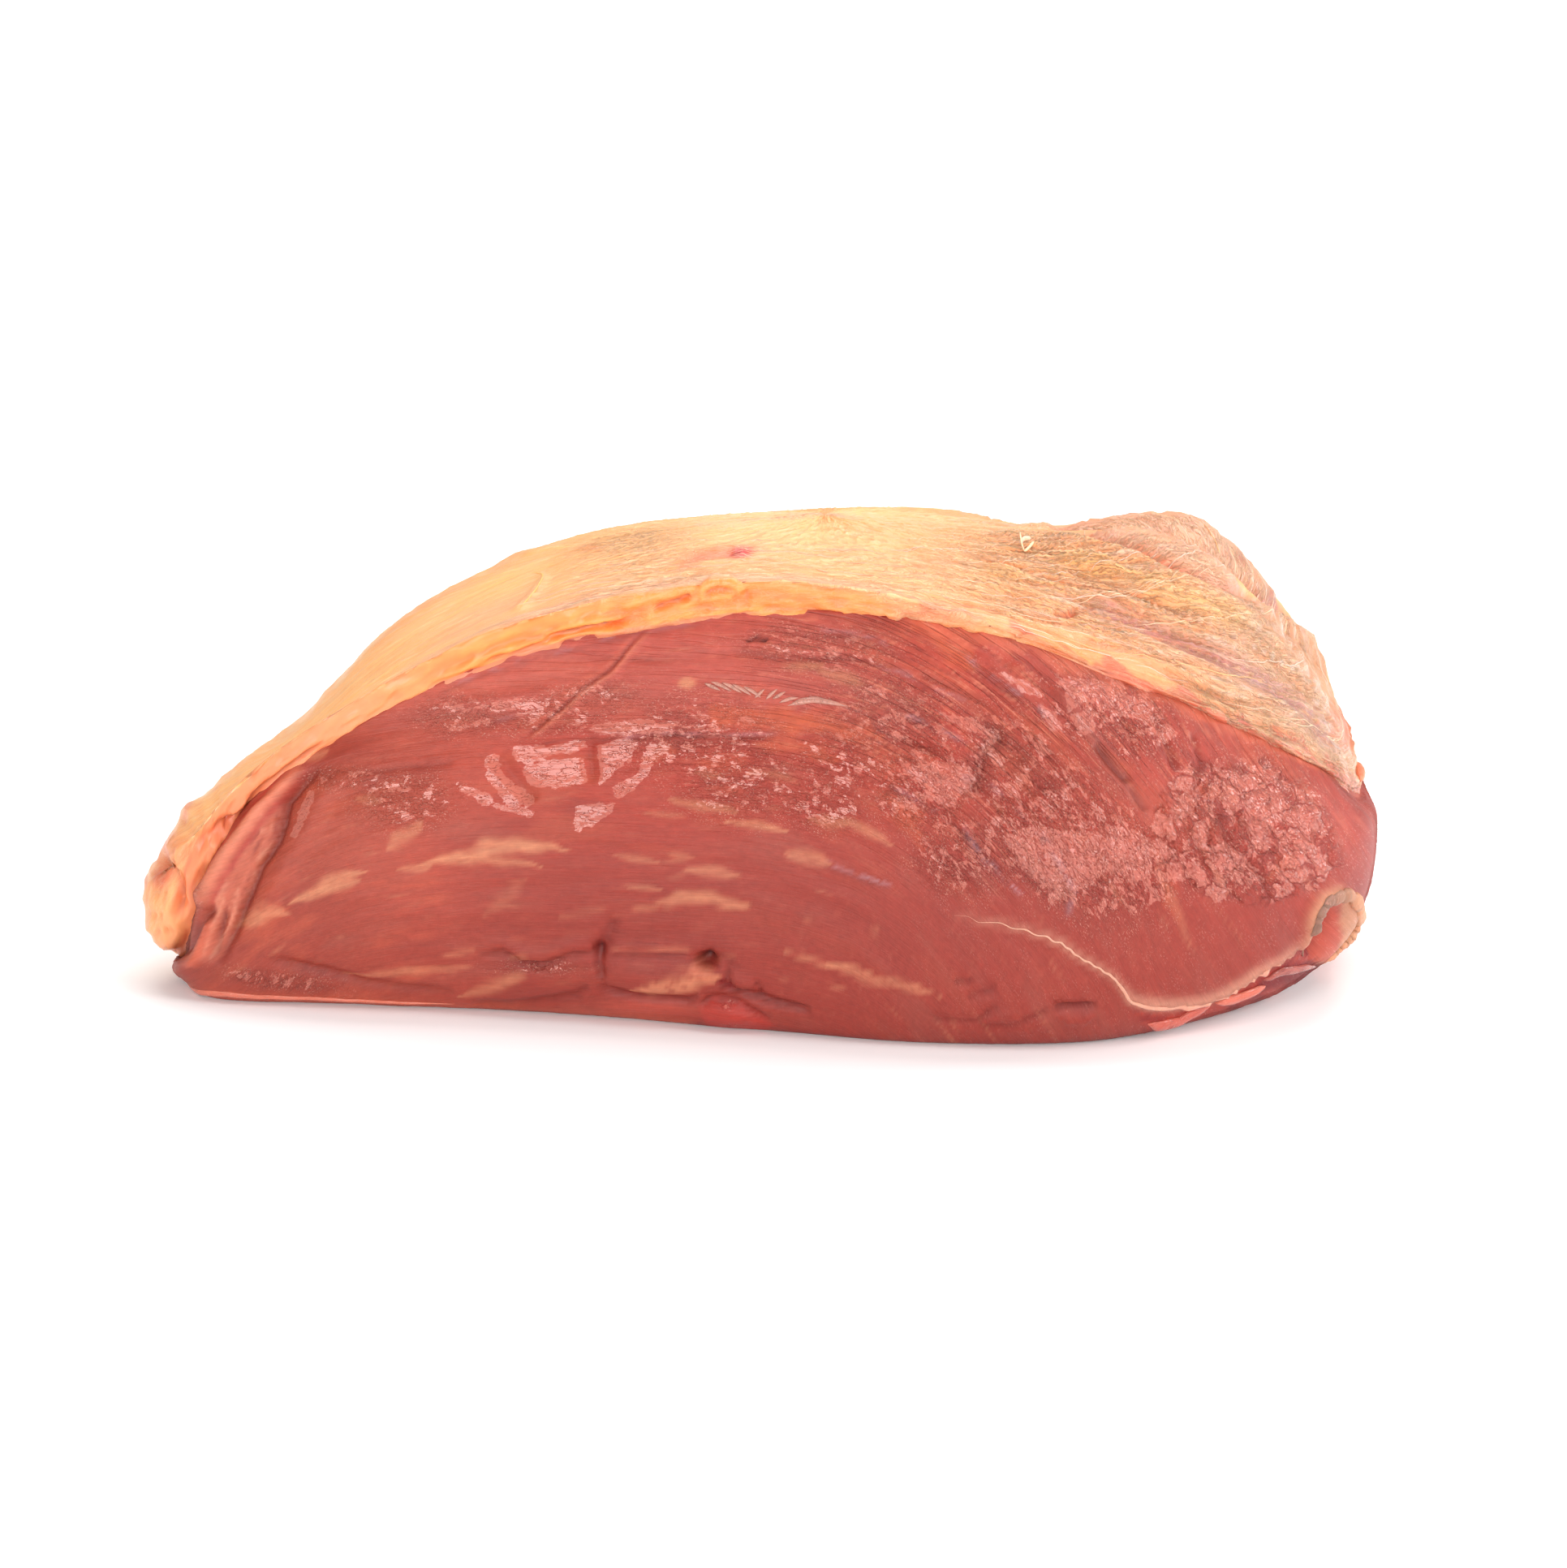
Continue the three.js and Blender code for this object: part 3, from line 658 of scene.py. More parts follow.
# Bundles of fibre, the soft unevenness of the whole muscle, and the cobbled thick end.
bundle = noise(along / 26, across / 3.4, 1.3, 2)
fine_bundle = noise(along / 12, across / 1.5, 2.3, 2)
swell = noise(x / 30, z / 22, 4.0 + y / 40, 2)
FACETS = [(1434, 972), (1476, 938), (1540, 944), (1600, 962), (1640, 1010), (1654, 1064), (1612, 1096),
          (1560, 1114), (1490, 1104), (1440, 1076), (1420, 1020)]
RUFFLES = [
    [(1306, 832), (1360, 832), (1428, 866), (1436, 900), (1384, 894), (1330, 900), (1310, 880)],
    [(1236, 984), (1300, 954), (1350, 980), (1404, 1016), (1440, 1050), (1450, 1104), (1384, 1116),
     (1310, 1114), (1258, 1084), (1226, 1030)],
    [(1096, 930), (1150, 920), (1216, 930), (1214, 972), (1170, 1000), (1112, 1010), (1090, 980)],
]
lumpy_end = face.region(FACETS, 16, rag=8, seed=130)
lumps = noise(along / 3.4, across / 2.6, 9.0, 2)
ruffled = patches(RUFFLES, 10, 7, 131) * (1 - valley)
ruffle = noise(along / 2.2 + 0.6 * bundle, across / 1.6, 12.0, 2) * ruffled
top_fibres = 0.3 * smooth(560, 700, fx) + 0.7 * smooth(820, 1040, fx)
top_fibres = top_fibres * (1 - smooth(900, 1010, fy)) * lean_facing
thick_lines = thick_face * (1 - smooth(1050, 1130, fy)) * (1 - 0.7 * smooth(1280, 1340, fx))
groove = np.exp(-(noise(along / 34, across / 2.1, 10.0, 2) / 0.07) ** 2)
calm = (1 - 0.6 * film) * (1 - 0.8 * valley) * (1 - 0.7 * smooth(1610, 1650, fx) * lean_facing)
bundled = (0.22 + 0.26 * thick_lines) * bundle + (0.1 + 0.1 * thick_lines) * fine_bundle
relief += bundled * calm + 0.5 * swell
relief -= 0.22 * groove * (0.06 + 0.5 * top_fibres + 0.4 * thick_lines) * calm
relief += 0.6 * lumps * lumpy_end + 0.2 * ruffle
relief += behind * (0.5 * noise(x / 7, z / 5, y / 7, 2) + 0.25 * noise(along / 14, across / 2.4, 8.0, 2))
cobble = np.clip(0.1 + lumpy_end + 0.35 * ruffled + 0.12 * thick_face, 0, 1) * (1 - behind) + 0.4 * behind
lined = np.clip(0.1 + 0.6 * top_fibres + 0.45 * thick_lines * (1 - lumpy_end), 0, 1) * (1 - 0.7 * film)
ripple = np.clip(ripple + 0.5 * ruffled + 0.3 * lumpy_end, 0, 1) * (1 - 0.9 * valley)
ripple = ripple * (1 - behind) + 0.5 * behind
low_edge = np.minimum(1, lean_shares * 5)[:, None]
relief = relief * low_edge * np.minimum(1, (1 - lean_shares) * 14)[:, None]
lean_points = lean_base + lean_normal * relief[..., None]
lean_points[..., 2] = np.maximum(lean_points[..., 2], FLOOR_GAP)

# Colours of the lean: redder in the middle, browner at the thin end, deeper below, and a peach
# bloom where the fat thins out over it.
LEAN_RED = colour(178, 65, 49)
LEAN_DEEP = colour(148, 53, 42)
LEAN_BROWN = colour(172, 76, 56)
LEAN_WARM = colour(194, 86, 60)
FAT_IN_LEAN = colour(212, 136, 100)
ORANGE_FAT = colour(212, 98, 62)
SILVER = colour(190, 150, 158)
MAUVE = colour(160, 84, 70)
SHADOW_RED = colour(104, 28, 26)
CRIMSON = colour(126, 6, 12)
GRISTLE_TAN = colour(200, 140, 106)
GRISTLE_GREY = colour(132, 94, 78)
CORAL_LEAN = colour(214, 104, 76)
PINK_FOLD = colour(226, 134, 104)
LEAN_PALE = colour(204, 104, 90)
MEMBRANE_PALE = colour(214, 152, 126)
DEEP_CORAL = colour(178, 56, 40)
WET_HIGHLIGHT = colour(220, 142, 126)
DROP_HIGHLIGHT = colour(234, 164, 144)
STRIP_BROWN = colour(198, 102, 78)
STRIP_PALE = colour(218, 138, 110)
STRIP_DARK = colour(136, 42, 34)
FOLD_RED = colour(176, 52, 46)
FOLD_BANK = colour(188, 60, 50)
VALLEY_RED = colour(166, 80, 68)
GREYISH_RED = colour(120, 70, 62)
LOOP_RED = colour(196, 84, 64)
FLAP_RED = colour(184, 58, 46)
LOW_CORAL = colour(196, 84, 66)
LENS_ORANGE = colour(208, 128, 94)
LENS_EDGE = colour(206, 116, 84)

tint = np.ones(lean_base.shape) * LEAN_RED
tint = layered(tint, [
    (LEAN_BROWN, (1 - smooth(330, 760, fx)) * 0.85),
    (LEAN_DEEP, (1 - smooth(380, 700, fx)) * smooth(1010, 1150, fy) * 0.6),
    (LEAN_DEEP, smooth(0.0, 0.7, noise(along / 34, across / 10, 11.0, 3)) * 0.55),
    (LEAN_WARM, smooth(0.05, 0.75, noise(along / 26, across / 6, 17.0, 3)) * 0.6),
    (LEAN_PALE, (1 - smooth(850, 930, fy)) * smooth(380, 480, fx) * (1 - smooth(1000, 1150, fx)) * 0.45),
    (LEAN_DEEP, smooth(930, 1130, fy) * smooth(500, 640, fx) * 0.75),
    (MAUVE, smooth(0.15, 0.8, noise(along / 30, across / 7, 19.0, 3)) * 0.3),
])
fibre = noise(along / 10, across / 1.0, 21.0, 2)
tint = tint * (1 + (0.05 + 0.08 * top_fibres + 0.06 * thick_lines) * fibre)[..., None]
tint = blend(tint, SHADOW_RED, groove * (0.02 + 0.1 * top_fibres + 0.14 * thick_lines))
pale_fibre = smooth(0.35, 0.8, noise(along / 9, across / 0.8, 25.0, 2))
tint = blend(tint, PINK_FOLD, pale_fibre * (0.06 + 0.35 * top_fibres + 0.2 * thick_lines))

MARBLING = [  # path, half width, strength
    ([(483, 1040), (498, 1030), (515, 1018)], 11, 0.6), ([(444, 984), (466, 988)], 6, 0.4),
    ([(371, 1108), (395, 1098), (412, 1083), (439, 1076)], 10, 0.85),
    ([(398, 1096), (420, 1091), (440, 1086)], 7, 0.7),
    ([(290, 1142), (318, 1128), (346, 1124)], 12, 0.75), ([(376, 934), (401, 926)], 6, 0.6),
    ([(496, 1070), (528, 1068)], 6, 0.6), ([(538, 1062), (580, 1056), (605, 1044), (640, 1042),
                                            (676, 1045)], 12, 0.9),
    ([(590, 1058), (625, 1062), (655, 1066)], 6, 0.6), ([(765, 1056), (804, 1060)], 5, 0.5),
    ([(850, 1070), (878, 1074), (904, 1078)], 8, 0.6), ([(776, 1091), (810, 1095)], 4, 0.5),
    ([(818, 1112), (850, 1104), (880, 1107), (910, 1114)], 9, 0.8),
    ([(835, 988), (865, 993), (897, 999)], 8, 0.6), ([(905, 1014), (961, 1021)], 6, 0.8),
    ([(975, 1052), (1017, 1062)], 10, 0.7), ([(826, 1052), (850, 1056)], 5, 0.4),
    ([(1064, 1208), (1099, 1210), (1143, 1223)], 7, 0.7),
    ([(1028, 1190), (1050, 1194), (1072, 1202)], 6, 0.7),
    ([(982, 1176), (1017, 1188), (1050, 1194)], 5, 0.5),
    ([(444, 1204), (500, 1198), (560, 1196)], 5, 0.5), ([(580, 1224), (605, 1216), (640, 1203)], 10, 0.6),
    ([(967, 821), (1007, 821)], 6, 0.6), ([(1010, 828), (1035, 832), (1060, 842)], 8, 0.6),
    ([(1432, 1084), (1448, 1120), (1464, 1159)], 7, 0.35), ([(782, 1118), (812, 1120)], 4, 0.4),
    ([(1042, 1012), (1068, 1020), (1090, 1036)], 8, 0.6), ([(1002, 1008), (1040, 1016)], 7, 0.6),
    ([(928, 952), (955, 956), (975, 962)], 6, 0.4), ([(860, 952), (886, 955)], 6, 0.35),
    ([(600, 1124), (640, 1090)], 12, 0.2), ([(548, 1180), (580, 1172)], 4, 0.35),
    ([(830, 1192), (900, 1178)], 4, 0.2), ([(630, 1182), (650, 1180)], 4, 0.5),
    ([(800, 1003), (840, 1005)], 4, 0.35), ([(700, 1128), (740, 1120)], 5, 0.2),
]
STREAKS = [
    ([(868, 884), (900, 880), (940, 882), (975, 888), (1012, 899)], 14, 0.8),
    ([(964, 891), (1030, 892), (1092, 910)], 12, 0.7), ([(927, 918), (980, 920), (1040, 936)], 10, 0.6),
    ([(740, 770), (716, 776)], 7, 0.3),
    ([(1564, 1087), (1578, 1068), (1591, 1049)], 9, 0.5), ([(1484, 985), (1502, 965)], 9, 0.5),
    ([(1118, 760), (1145, 778), (1184, 808), (1204, 824)], 11, 0.9), ([(900, 850), (960, 856)], 8, 0.3),
    (moved(LONG_CUT, -5, -5), 5, 0.25), ([(1100, 985), (1118, 1010), (1134, 1040)], 12, 0.5),
    ([(1240, 872), (1290, 905), (1330, 950)], 12, 0.4),
    ([(1330, 900), (1380, 950), (1420, 1010)], 12, 0.35),
    ([(1180, 905), (1230, 930), (1290, 985)], 14, 0.3),
    ([(1420, 1040), (1440, 1090), (1450, 1130)], 10, 0.3),
    ([(860, 940), (900, 948), (930, 930)], 10, 0.3), ([(790, 935), (818, 926), (842, 928)], 6, 0.5),
]
FASCIA = [
    ([(1189, 808), (1211, 826), (1235, 845), (1259, 858)], 4, 0.7), ([(1280, 868), (1302, 899)], 6, 0.7),
    ([(1348, 915), (1362, 935), (1387, 957)], 4, 0.7),
    ([(1180, 955), (1213, 963), (1241, 983)], 4, 0.6),
    ([(1250, 990), (1283, 1028), (1300, 1050)], 4, 0.5),
    ([(1296, 1048), (1312, 1075), (1323, 1101), (1314, 1131)], 5, 0.7),
    ([(1180, 1011), (1208, 1053), (1233, 1078), (1261, 1103)], 5, 0.7),
    ([(1095, 871), (1146, 893), (1196, 918)], 4, 0.5),
    ([(1079, 820), (1118, 831), (1157, 851), (1194, 863)], 4, 0.4),
    ([(1007, 775), (1050, 781), (1087, 791), (1120, 807)], 4, 0.4),
    ([(1090, 960), (1124, 984), (1160, 1000)], 4, 0.4),
    ([(1017, 1062), (1041, 1071), (1067, 1081), (1099, 1091)], 4, 0.6),
    ([(541, 852), (594, 830), (669, 806)], 5, 0.35), ([(669, 808), (781, 779), (875, 766)], 4, 0.35),
    ([(596, 893), (640, 880), (662, 888)], 3, 0.3), ([(756, 915), (790, 905), (842, 903)], 3, 0.6),
]
broken = noise(along / 9, across / 0.8, 23.0, 2)


def stretched(path, share):
    """The path with both ends carried on straight by a share of its length."""
    path = np.array(path, float)
    length = np.linalg.norm(np.diff(path, axis=0), axis=1).sum() * share
    start = path[0] - (path[1] - path[0]) / np.linalg.norm(path[1] - path[0]) * length
    end = path[-1] + (path[-1] - path[-2]) / np.linalg.norm(path[-1] - path[-2]) * length
    return np.concatenate([[start], path, [end]])


for number, (path, half, strength) in enumerate(MARBLING):
    wisp = face.lens(stretched(path, 0.22), half * 0.9, soft=0.95, rag=0.26, seed=number)
    tint = blend(tint, FAT_IN_LEAN, np.clip(wisp * strength * (0.82 + 0.3 * broken), 0, 1))
for number, (path, half, strength) in enumerate(STREAKS):
    streak = face.lens(path, half * 1.2, soft=1.0, rag=0.4, seed=40 + number) * (0.75 + 0.35 * fibre)
    tint = blend(tint, ORANGE_FAT, np.clip(streak * strength, 0, 1))
for number, (path, half, strength) in enumerate(FASCIA):
    gaps = smooth(-0.3, 0.3, noise(along / 5, across / 1.4, 60.0 + number, 2))
    tint = blend(tint, SILVER, face.line(path, half * 0.75) * gaps * strength * 0.8)
    # Painted shadow: a thin dark line just beside each fascia thread.
    crease_shade = np.maximum(crease_shade, 0.3 * face.line(moved(path, -3, 4), 3))
tint = blend(tint, FAT_IN_LEAN, face.spot_at((847, 842), (11, 7), 0, 6) * 0.9)

# Loose flecks of fat through the whole muscle, thin and drawn out along the grain.
fleck = smooth(0.5, 0.9, noise(along / 11, across / 1.6, 31.0)) * (0.3 + 0.35 * behind)
tint = blend(tint, FAT_IN_LEAN, fleck)

tint = layered(tint, [
    (STRIP_BROWN, strip_mask * 0.8),
    (STRIP_PALE, strip_mask * smooth(0.05, 0.55, strip_streak) * 0.7),
    (STRIP_DARK, strip_mask * smooth(0.15, 0.6, -strip_streak) * 0.6),
    (CORAL_LEAN, face.line(LOW_ROLL, 7) * 0.8),
    (PINK_FOLD, face.line(FOLD, 8) * 0.85),
    (FOLD_RED, face.line(moved(FOLD, 8, 6), 3) * 0.6),
    (FOLD_BANK, face.line(moved(FOLD, -9, -5), 3) * 0.6),
    (VALLEY_RED, valley * 0.75),
    (PINK_FOLD, face.line(moved(LONG_CUT, 5, 4), 2.4) * 0.5),
    # Painted highlight: a thin silvery line along the upper edge of the step.
    (SILVER, face.line(moved(STEP[2:], 0, -3), 1.4) * 0.3),
    (SHADOW_RED, np.clip(crease_shade, 0, 1)),
])
PALE_LIP = [(750, 1166), (766, 1171), (790, 1172), (820, 1169), (846, 1170), (862, 1175)]
tint = blend(tint, PINK_FOLD, face.line(PALE_LIP, 2.2) * 0.4)
for centre, size, _ in KNOBS[:2]:
    tint = blend(tint, SHADOW_RED, face.spot_at(centre, size, 0, 4) * 0.9)
tint = layered(tint, [
    # A wide greyish-red band along the slanting groove.
    (GREYISH_RED, face.line(SLANT_GROOVE, 14) * 0.3),
    # Painted shade: the recess under the membrane's edge and the gristle's slit are painted deep crimson.
    (CRIMSON, np.clip(under_membrane * 1.5, 0, 1) * smooth(1500, 1560, fx) * 0.95),
    (CRIMSON, slit_line * 0.9),
])
CRIMSON_GAP = [(1564, 1210), (1584, 1198), (1601, 1188), (1632, 1186), (1626, 1198), (1604, 1210),
               (1540, 1228)]
crimson_gap = rim.region(CRIMSON_GAP, 3, rag=3, seed=97)
UNDER_EDGE = [(1400, 1248), (1450, 1250), (1500, 1240), (1556, 1212), (1606, 1180), (1642, 1188),
              (1600, 1228), (1540, 1254), (1480, 1272), (1420, 1280)]
under_edge = rim.region(UNDER_EDGE, 3, rag=3, seed=98)
tint = layered(tint, [
    (DEEP_CORAL, under_edge * 0.85),
    (CRIMSON, under_edge * smooth(-0.1, 0.4, noise(fx / 26, fy / 9, 99.0, 2)) * 0.7),
    # The gap is red meat, painted deep crimson, partly its own colour and partly painted shade.
    (CRIMSON, crimson_gap),
])
pale_edge = face.line(moved(MEMBRANE[10:], 0, -5), 7, ends=0.2)
tint = layered(tint, [
    (MEMBRANE_PALE, pale_edge * 0.7),
    (MEMBRANE_PALE, face.line(MEMBRANE, 5, ends=0.3) * 0.5),
    (GRISTLE_TAN, rim.line(GRISTLE, 6, ends=0.05) * 0.8),
])
LOOP_RIGHT = [(1648, 1102), (1664, 1108), (1676, 1130), (1670, 1156), (1654, 1184), (1640, 1186),
              (1650, 1150), (1652, 1124)]
LOOP_WALL = [(1640, 1120), (1650, 1112), (1652, 1140), (1642, 1182), (1616, 1186), (1628, 1160)]
tint = layered(tint, [
    (GRISTLE_TAN, rim.region(LOOP_RIGHT, 4, rag=3, seed=93) * 0.85),
    (LOOP_RED, rim.region(LOOP_WALL, 3, rag=2, seed=94) * 0.85),
    # The slit is painted deep crimson, as painted shade.
    (CRIMSON, rim.line(GRISTLE_SLIT, 5, ends=0.15) * 0.95),
])
RED_FLAP = [(860, 1240), (880, 1230), (908, 1232), (940, 1250), (956, 1262), (930, 1274), (880, 1270)]
red_flap = rim.region(RED_FLAP, 4, rag=2, seed=96)
tint = blend(tint, FLAP_RED, red_flap * 0.85)
tint = blend(tint, LOW_CORAL, face.spot_at((800, 1242), (66, 9), 2, 4) * 0.7)
ORANGE_LENS = [(776, 1222), (808, 1216), (840, 1211), (868, 1206), (890, 1202)]
orange_lens = rim.lens(ORANGE_LENS, 12, soft=0.8, rag=0.25, seed=95)
lens_streak = smooth(0.1, 0.5, noise((fx + fy) / 18, (fy + 0.3 * fx) / 4, 92.0, 2))
tint = layered(tint, [
    (LENS_ORANGE, np.clip(orange_lens * (0.95 - 0.55 * lens_streak), 0, 1)),
    (LENS_EDGE, face.line([(850, 1190), (866, 1200), (880, 1206)], 7) * 0.7),
    (CRIMSON, face.line([(884, 1206), (893, 1213), (904, 1219)], 4) * 0.9),
])
LOW_RIM = [(207, 1186), (230, 1214), (245, 1223), (309, 1229), (394, 1234), (560, 1242), (700, 1248),
           (800, 1256), (860, 1262)]
left_rim = rim.line(LOW_RIM, 7, ends=0.02)
tint = blend(tint, CORAL_LEAN, left_rim * 0.5)
from_border = (1 - lean_shares)[:, None] * np.ones_like(fx)
bloom_edge = from_border + 0.05 * noise(along / 5, across / 5, 90.0, 3)
bloom = smooth(1080, 1140, fx) * lean_facing * (1 - smooth(0.0, 0.06, bloom_edge))
tint = blend(tint, CORAL_LEAN, bloom * 0.7)

wet = wet * (1 - crimson_gap)
tint *= (0.89 + 0.06 * thick_face * (1 - smooth(1080, 1160, fy)) - 0.08 * damp)[..., None]
# Painted shade: the upper right of the cut face, just under the fat, is darkened.
upper_right_shade = smooth(1160, 1260, fx) * (1 - smooth(950, 1040, fy)) * lean_facing
tint *= 1 - upper_right_shade[..., None] * np.array([0.14, 0.12, 0.14])
tint *= 1 - smooth(560, 760, fx)[..., None] * np.array([0.05, 0.09, 0.08])
lean_top = top_rows(columns, section_values, outward, np.array([0.04, 0.12, 0.3, 0.6]), 0)


def padded(looks, before, after):
    """Repeats the first and the last row of each look on the hidden rows before and after them."""
    return {label: np.concatenate([values[:1].repeat(before, 0), values, values[-1:].repeat(after, 0)])
            for label, values in looks.items()}


lean_rings = np.concatenate([lean_points, lean_top])
lean_looks = {
    "tint": tint,
    "grain": np.stack([along, across, steep], -1),
    "wet": wet,
    "ripple": ripple,
    "cobble": cobble,
    "lined": lined,
}
lean_looks = padded(lean_looks, 0, len(lean_top))
crown_below = CROWN - np.array([0, 0, FAT_THICKNESS])
crown_below[2] += lobe_height(CROWN[:1], CROWN[1:2])[0]
lean = skin_object("lean_muscle", [(lean_rings, [*CROWN[:2], FLOOR_GAP], crown_below, lean_looks)])


class Nodes:
    """Short way to make and link shader nodes of one material."""

    def __init__(self, name):
        self.material = bpy.data.materials.new(name)
        self.material.use_nodes = True
        self.tree = self.material.node_tree
        self.shader = self.tree.nodes["Principled BSDF"]

    def link(self, value, socket):
        """Links a socket, or sets a plain value."""
        if isinstance(value, bpy.types.NodeSocket):
            self.tree.links.new(value, socket)
        else:
            socket.default_value = value

    def attribute(self, label, output):
        """Reads a per-point value of the piece."""
        node = self.tree.nodes.new("ShaderNodeAttribute")
        node.attribute_name = label
        return node.outputs[output]

    def math(self, operation, first, second=0.0):
        """One sum on one or two numbers."""
        node = self.tree.nodes.new("ShaderNodeMath")
        node.operation = operation
        self.link(first, node.inputs[0])
        self.link(second, node.inputs[1])
        return node.outputs[0]

    def times(self, first, second):
        """Product of two numbers."""
        return self.math("MULTIPLY", first, second)

    def apart(self, value, level):
        """How far a number is from a level, either way."""
        return self.math("ABSOLUTE", self.math("SUBTRACT", value, level))

    def scaled(self, vector, scale):
        """A vector multiplied part by part."""
        node = self.tree.nodes.new("ShaderNodeVectorMath")
        node.operation = "MULTIPLY"
        self.link(vector, node.inputs[0])
        node.inputs[1].default_value = scale
        return node.outputs[0]

    def noise(self, vector, scale, detail=2.0, roughness=0.5, distortion=0.0):
        """Noise, 0 to 1, over a vector multiplied part by part by a scale."""
        node = self.tree.nodes.new("ShaderNodeTexNoise")
        self.link(self.scaled(vector, scale), node.inputs["Vector"])
        node.inputs["Scale"].default_value = 1.0
        node.inputs["Detail"].default_value = detail
        node.inputs["Roughness"].default_value = roughness
        node.inputs["Distortion"].default_value = distortion
        return node.outputs["Fac"]

    def warped(self, vector, scale, amount):
        """A vector pushed about by noise."""
        noise_node = self.tree.nodes.new("ShaderNodeTexNoise")
        self.link(vector, noise_node.inputs["Vector"])
        noise_node.inputs["Scale"].default_value = scale
        noise_node.inputs["Detail"].default_value = 2.0
        push = self.tree.nodes.new("ShaderNodeVectorMath")
        push.operation = "MULTIPLY_ADD"
        self.link(noise_node.outputs["Color"], push.inputs[0])
        push.inputs[1].default_value = (amount, amount, 0)
        self.link(vector, push.inputs[2])
        return push.outputs[0]

    def cells(self, vector, feature, output):
        """Cells round scattered points: a random colour each, or the distance to their edges."""
        node = self.tree.nodes.new("ShaderNodeTexVoronoi")
        node.feature = feature
        self.link(vector, node.inputs["Vector"])
        node.inputs["Scale"].default_value = 1.0
        return node.outputs[output]

    def mapped(self, value, low, high, out_low=0.0, out_high=1.0):
        """Straight line from one range to another, cut off at its ends."""
        node = self.tree.nodes.new("ShaderNodeMapRange")
        for number, item in enumerate((value, low, high, out_low, out_high)):
            self.link(item, node.inputs[number])
        return node.outputs[0]

    def mix(self, factor, first, second, kind="MIX"):
        """Mixes or multiplies two colours."""
        node = self.tree.nodes.new("ShaderNodeMix")
        node.data_type = "RGBA"
        node.blend_type = kind
        self.link(factor, node.inputs[0])
        self.link(first, node.inputs[6])
        self.link(second, node.inputs[7])
        return node.outputs[2]

    def bump(self, height, distance, strength=1.0, below=None):
        """Bump of a height in parts of a distance in metres, on top of another bump."""
        node = self.tree.nodes.new("ShaderNodeBump")
        self.link(height, node.inputs["Height"])
        node.inputs["Distance"].default_value = distance
        self.link(strength, node.inputs["Strength"])
        if below is not None:
            self.link(below, node.inputs["Normal"])
        return node.outputs[0]


# Finish of raw lean: moist and a little see-through, with fine fibres along the grain. Where a film
# of moisture lies it is smooth, with ragged edges and worm-like cracks, and drops glint round it.
# The film's glints and the drops are glossy and are also painted pale pink, as painted highlights;
# the dark threads and the cracks between the facets of the thick end are painted in as shade.
meat = Nodes("raw_lean")
grain_at = meat.attribute("grain", "Vector")
wetness = meat.attribute("wet", "Fac")
rippled = meat.attribute("ripple", "Fac")
cobbled = meat.attribute("cobble", "Fac")
threaded = meat.attribute("lined", "Fac")
fine_fibre = meat.noise(grain_at, (0.16, 3.0, 0), 3.0, 0.6)
mottle = meat.noise(grain_at, (0.5, 0.8, 0), 3.0, 0.6)
veil = meat.noise(grain_at, (0.03, 0.62, 0), 2.0, 0.5, 0.2)
dark_thread = meat.mapped(meat.apart(veil, 0.5), 0.0, 0.035, 1.0, 0.0)
dark_thread = meat.times(dark_thread, threaded)
pale_thread = meat.mapped(meat.noise(grain_at, (0.07, 1.6, 3.0), 2.0, 0.6), 0.6, 0.7)
pale_thread = meat.times(pale_thread, threaded)
ragged = meat.noise(grain_at, (0.8, 1.5, 0), 3.0, 0.65)
pools = meat.noise(grain_at, (0.3, 0.5, 0), 3.0, 0.6, 0.5)
pools = meat.times(meat.mapped(pools, 0.47, 0.62), meat.mapped(rippled, 0.45, 0.9))
facet_place = meat.warped(meat.scaled(grain_at, (0.2, 0.26, 0)), 1.6, 1.2)
facet_pick = meat.cells(facet_place, "F1", "Color")
facet_pick = meat.mapped(facet_pick, 0.47, 0.49)
facet_edge = meat.cells(facet_place, "DISTANCE_TO_EDGE", "Distance")
facet_gap = meat.mapped(facet_edge, 0.02, 0.07)
facets = meat.times(facet_pick, meat.mapped(cobbled, 0.4, 0.8))
facets = meat.times(facets, facet_gap)
filmed = meat.math("MAXIMUM", meat.times(wetness, 1.25), pools)
filmed = meat.math("MAXIMUM", filmed, facets)
tear = meat.mapped(rippled, 0.0, 1.0, 0.8, 2.4)
filmed = meat.math("ADD", filmed, meat.times(meat.math("SUBTRACT", ragged, 0.5), tear))
smooth_film = meat.mapped(filmed, 0.42, 0.5)
bare = meat.math("SUBTRACT", 1.0, smooth_film)
worms = meat.noise(grain_at, (0.4, 1.1, 0), 3.0, 0.55, 1.0)
worm_lines = meat.mapped(meat.apart(worms, 0.5), 0.0, meat.mapped(rippled, 0.2, 1.0, 0.015, 0.035))
drops = meat.noise(grain_at, (1.9, 3.4, 0), 2.0, 0.7)
swarm = meat.mapped(meat.noise(grain_at, (0.22, 0.4, 7.0), 2.0, 0.5), 0.4, 0.6)
drops = meat.times(meat.mapped(drops, 0.575, 0.63), meat.mapped(meat.times(rippled, swarm), 0.05, 0.5))
shine = meat.math("MAXIMUM", meat.times(smooth_film, worm_lines), drops)

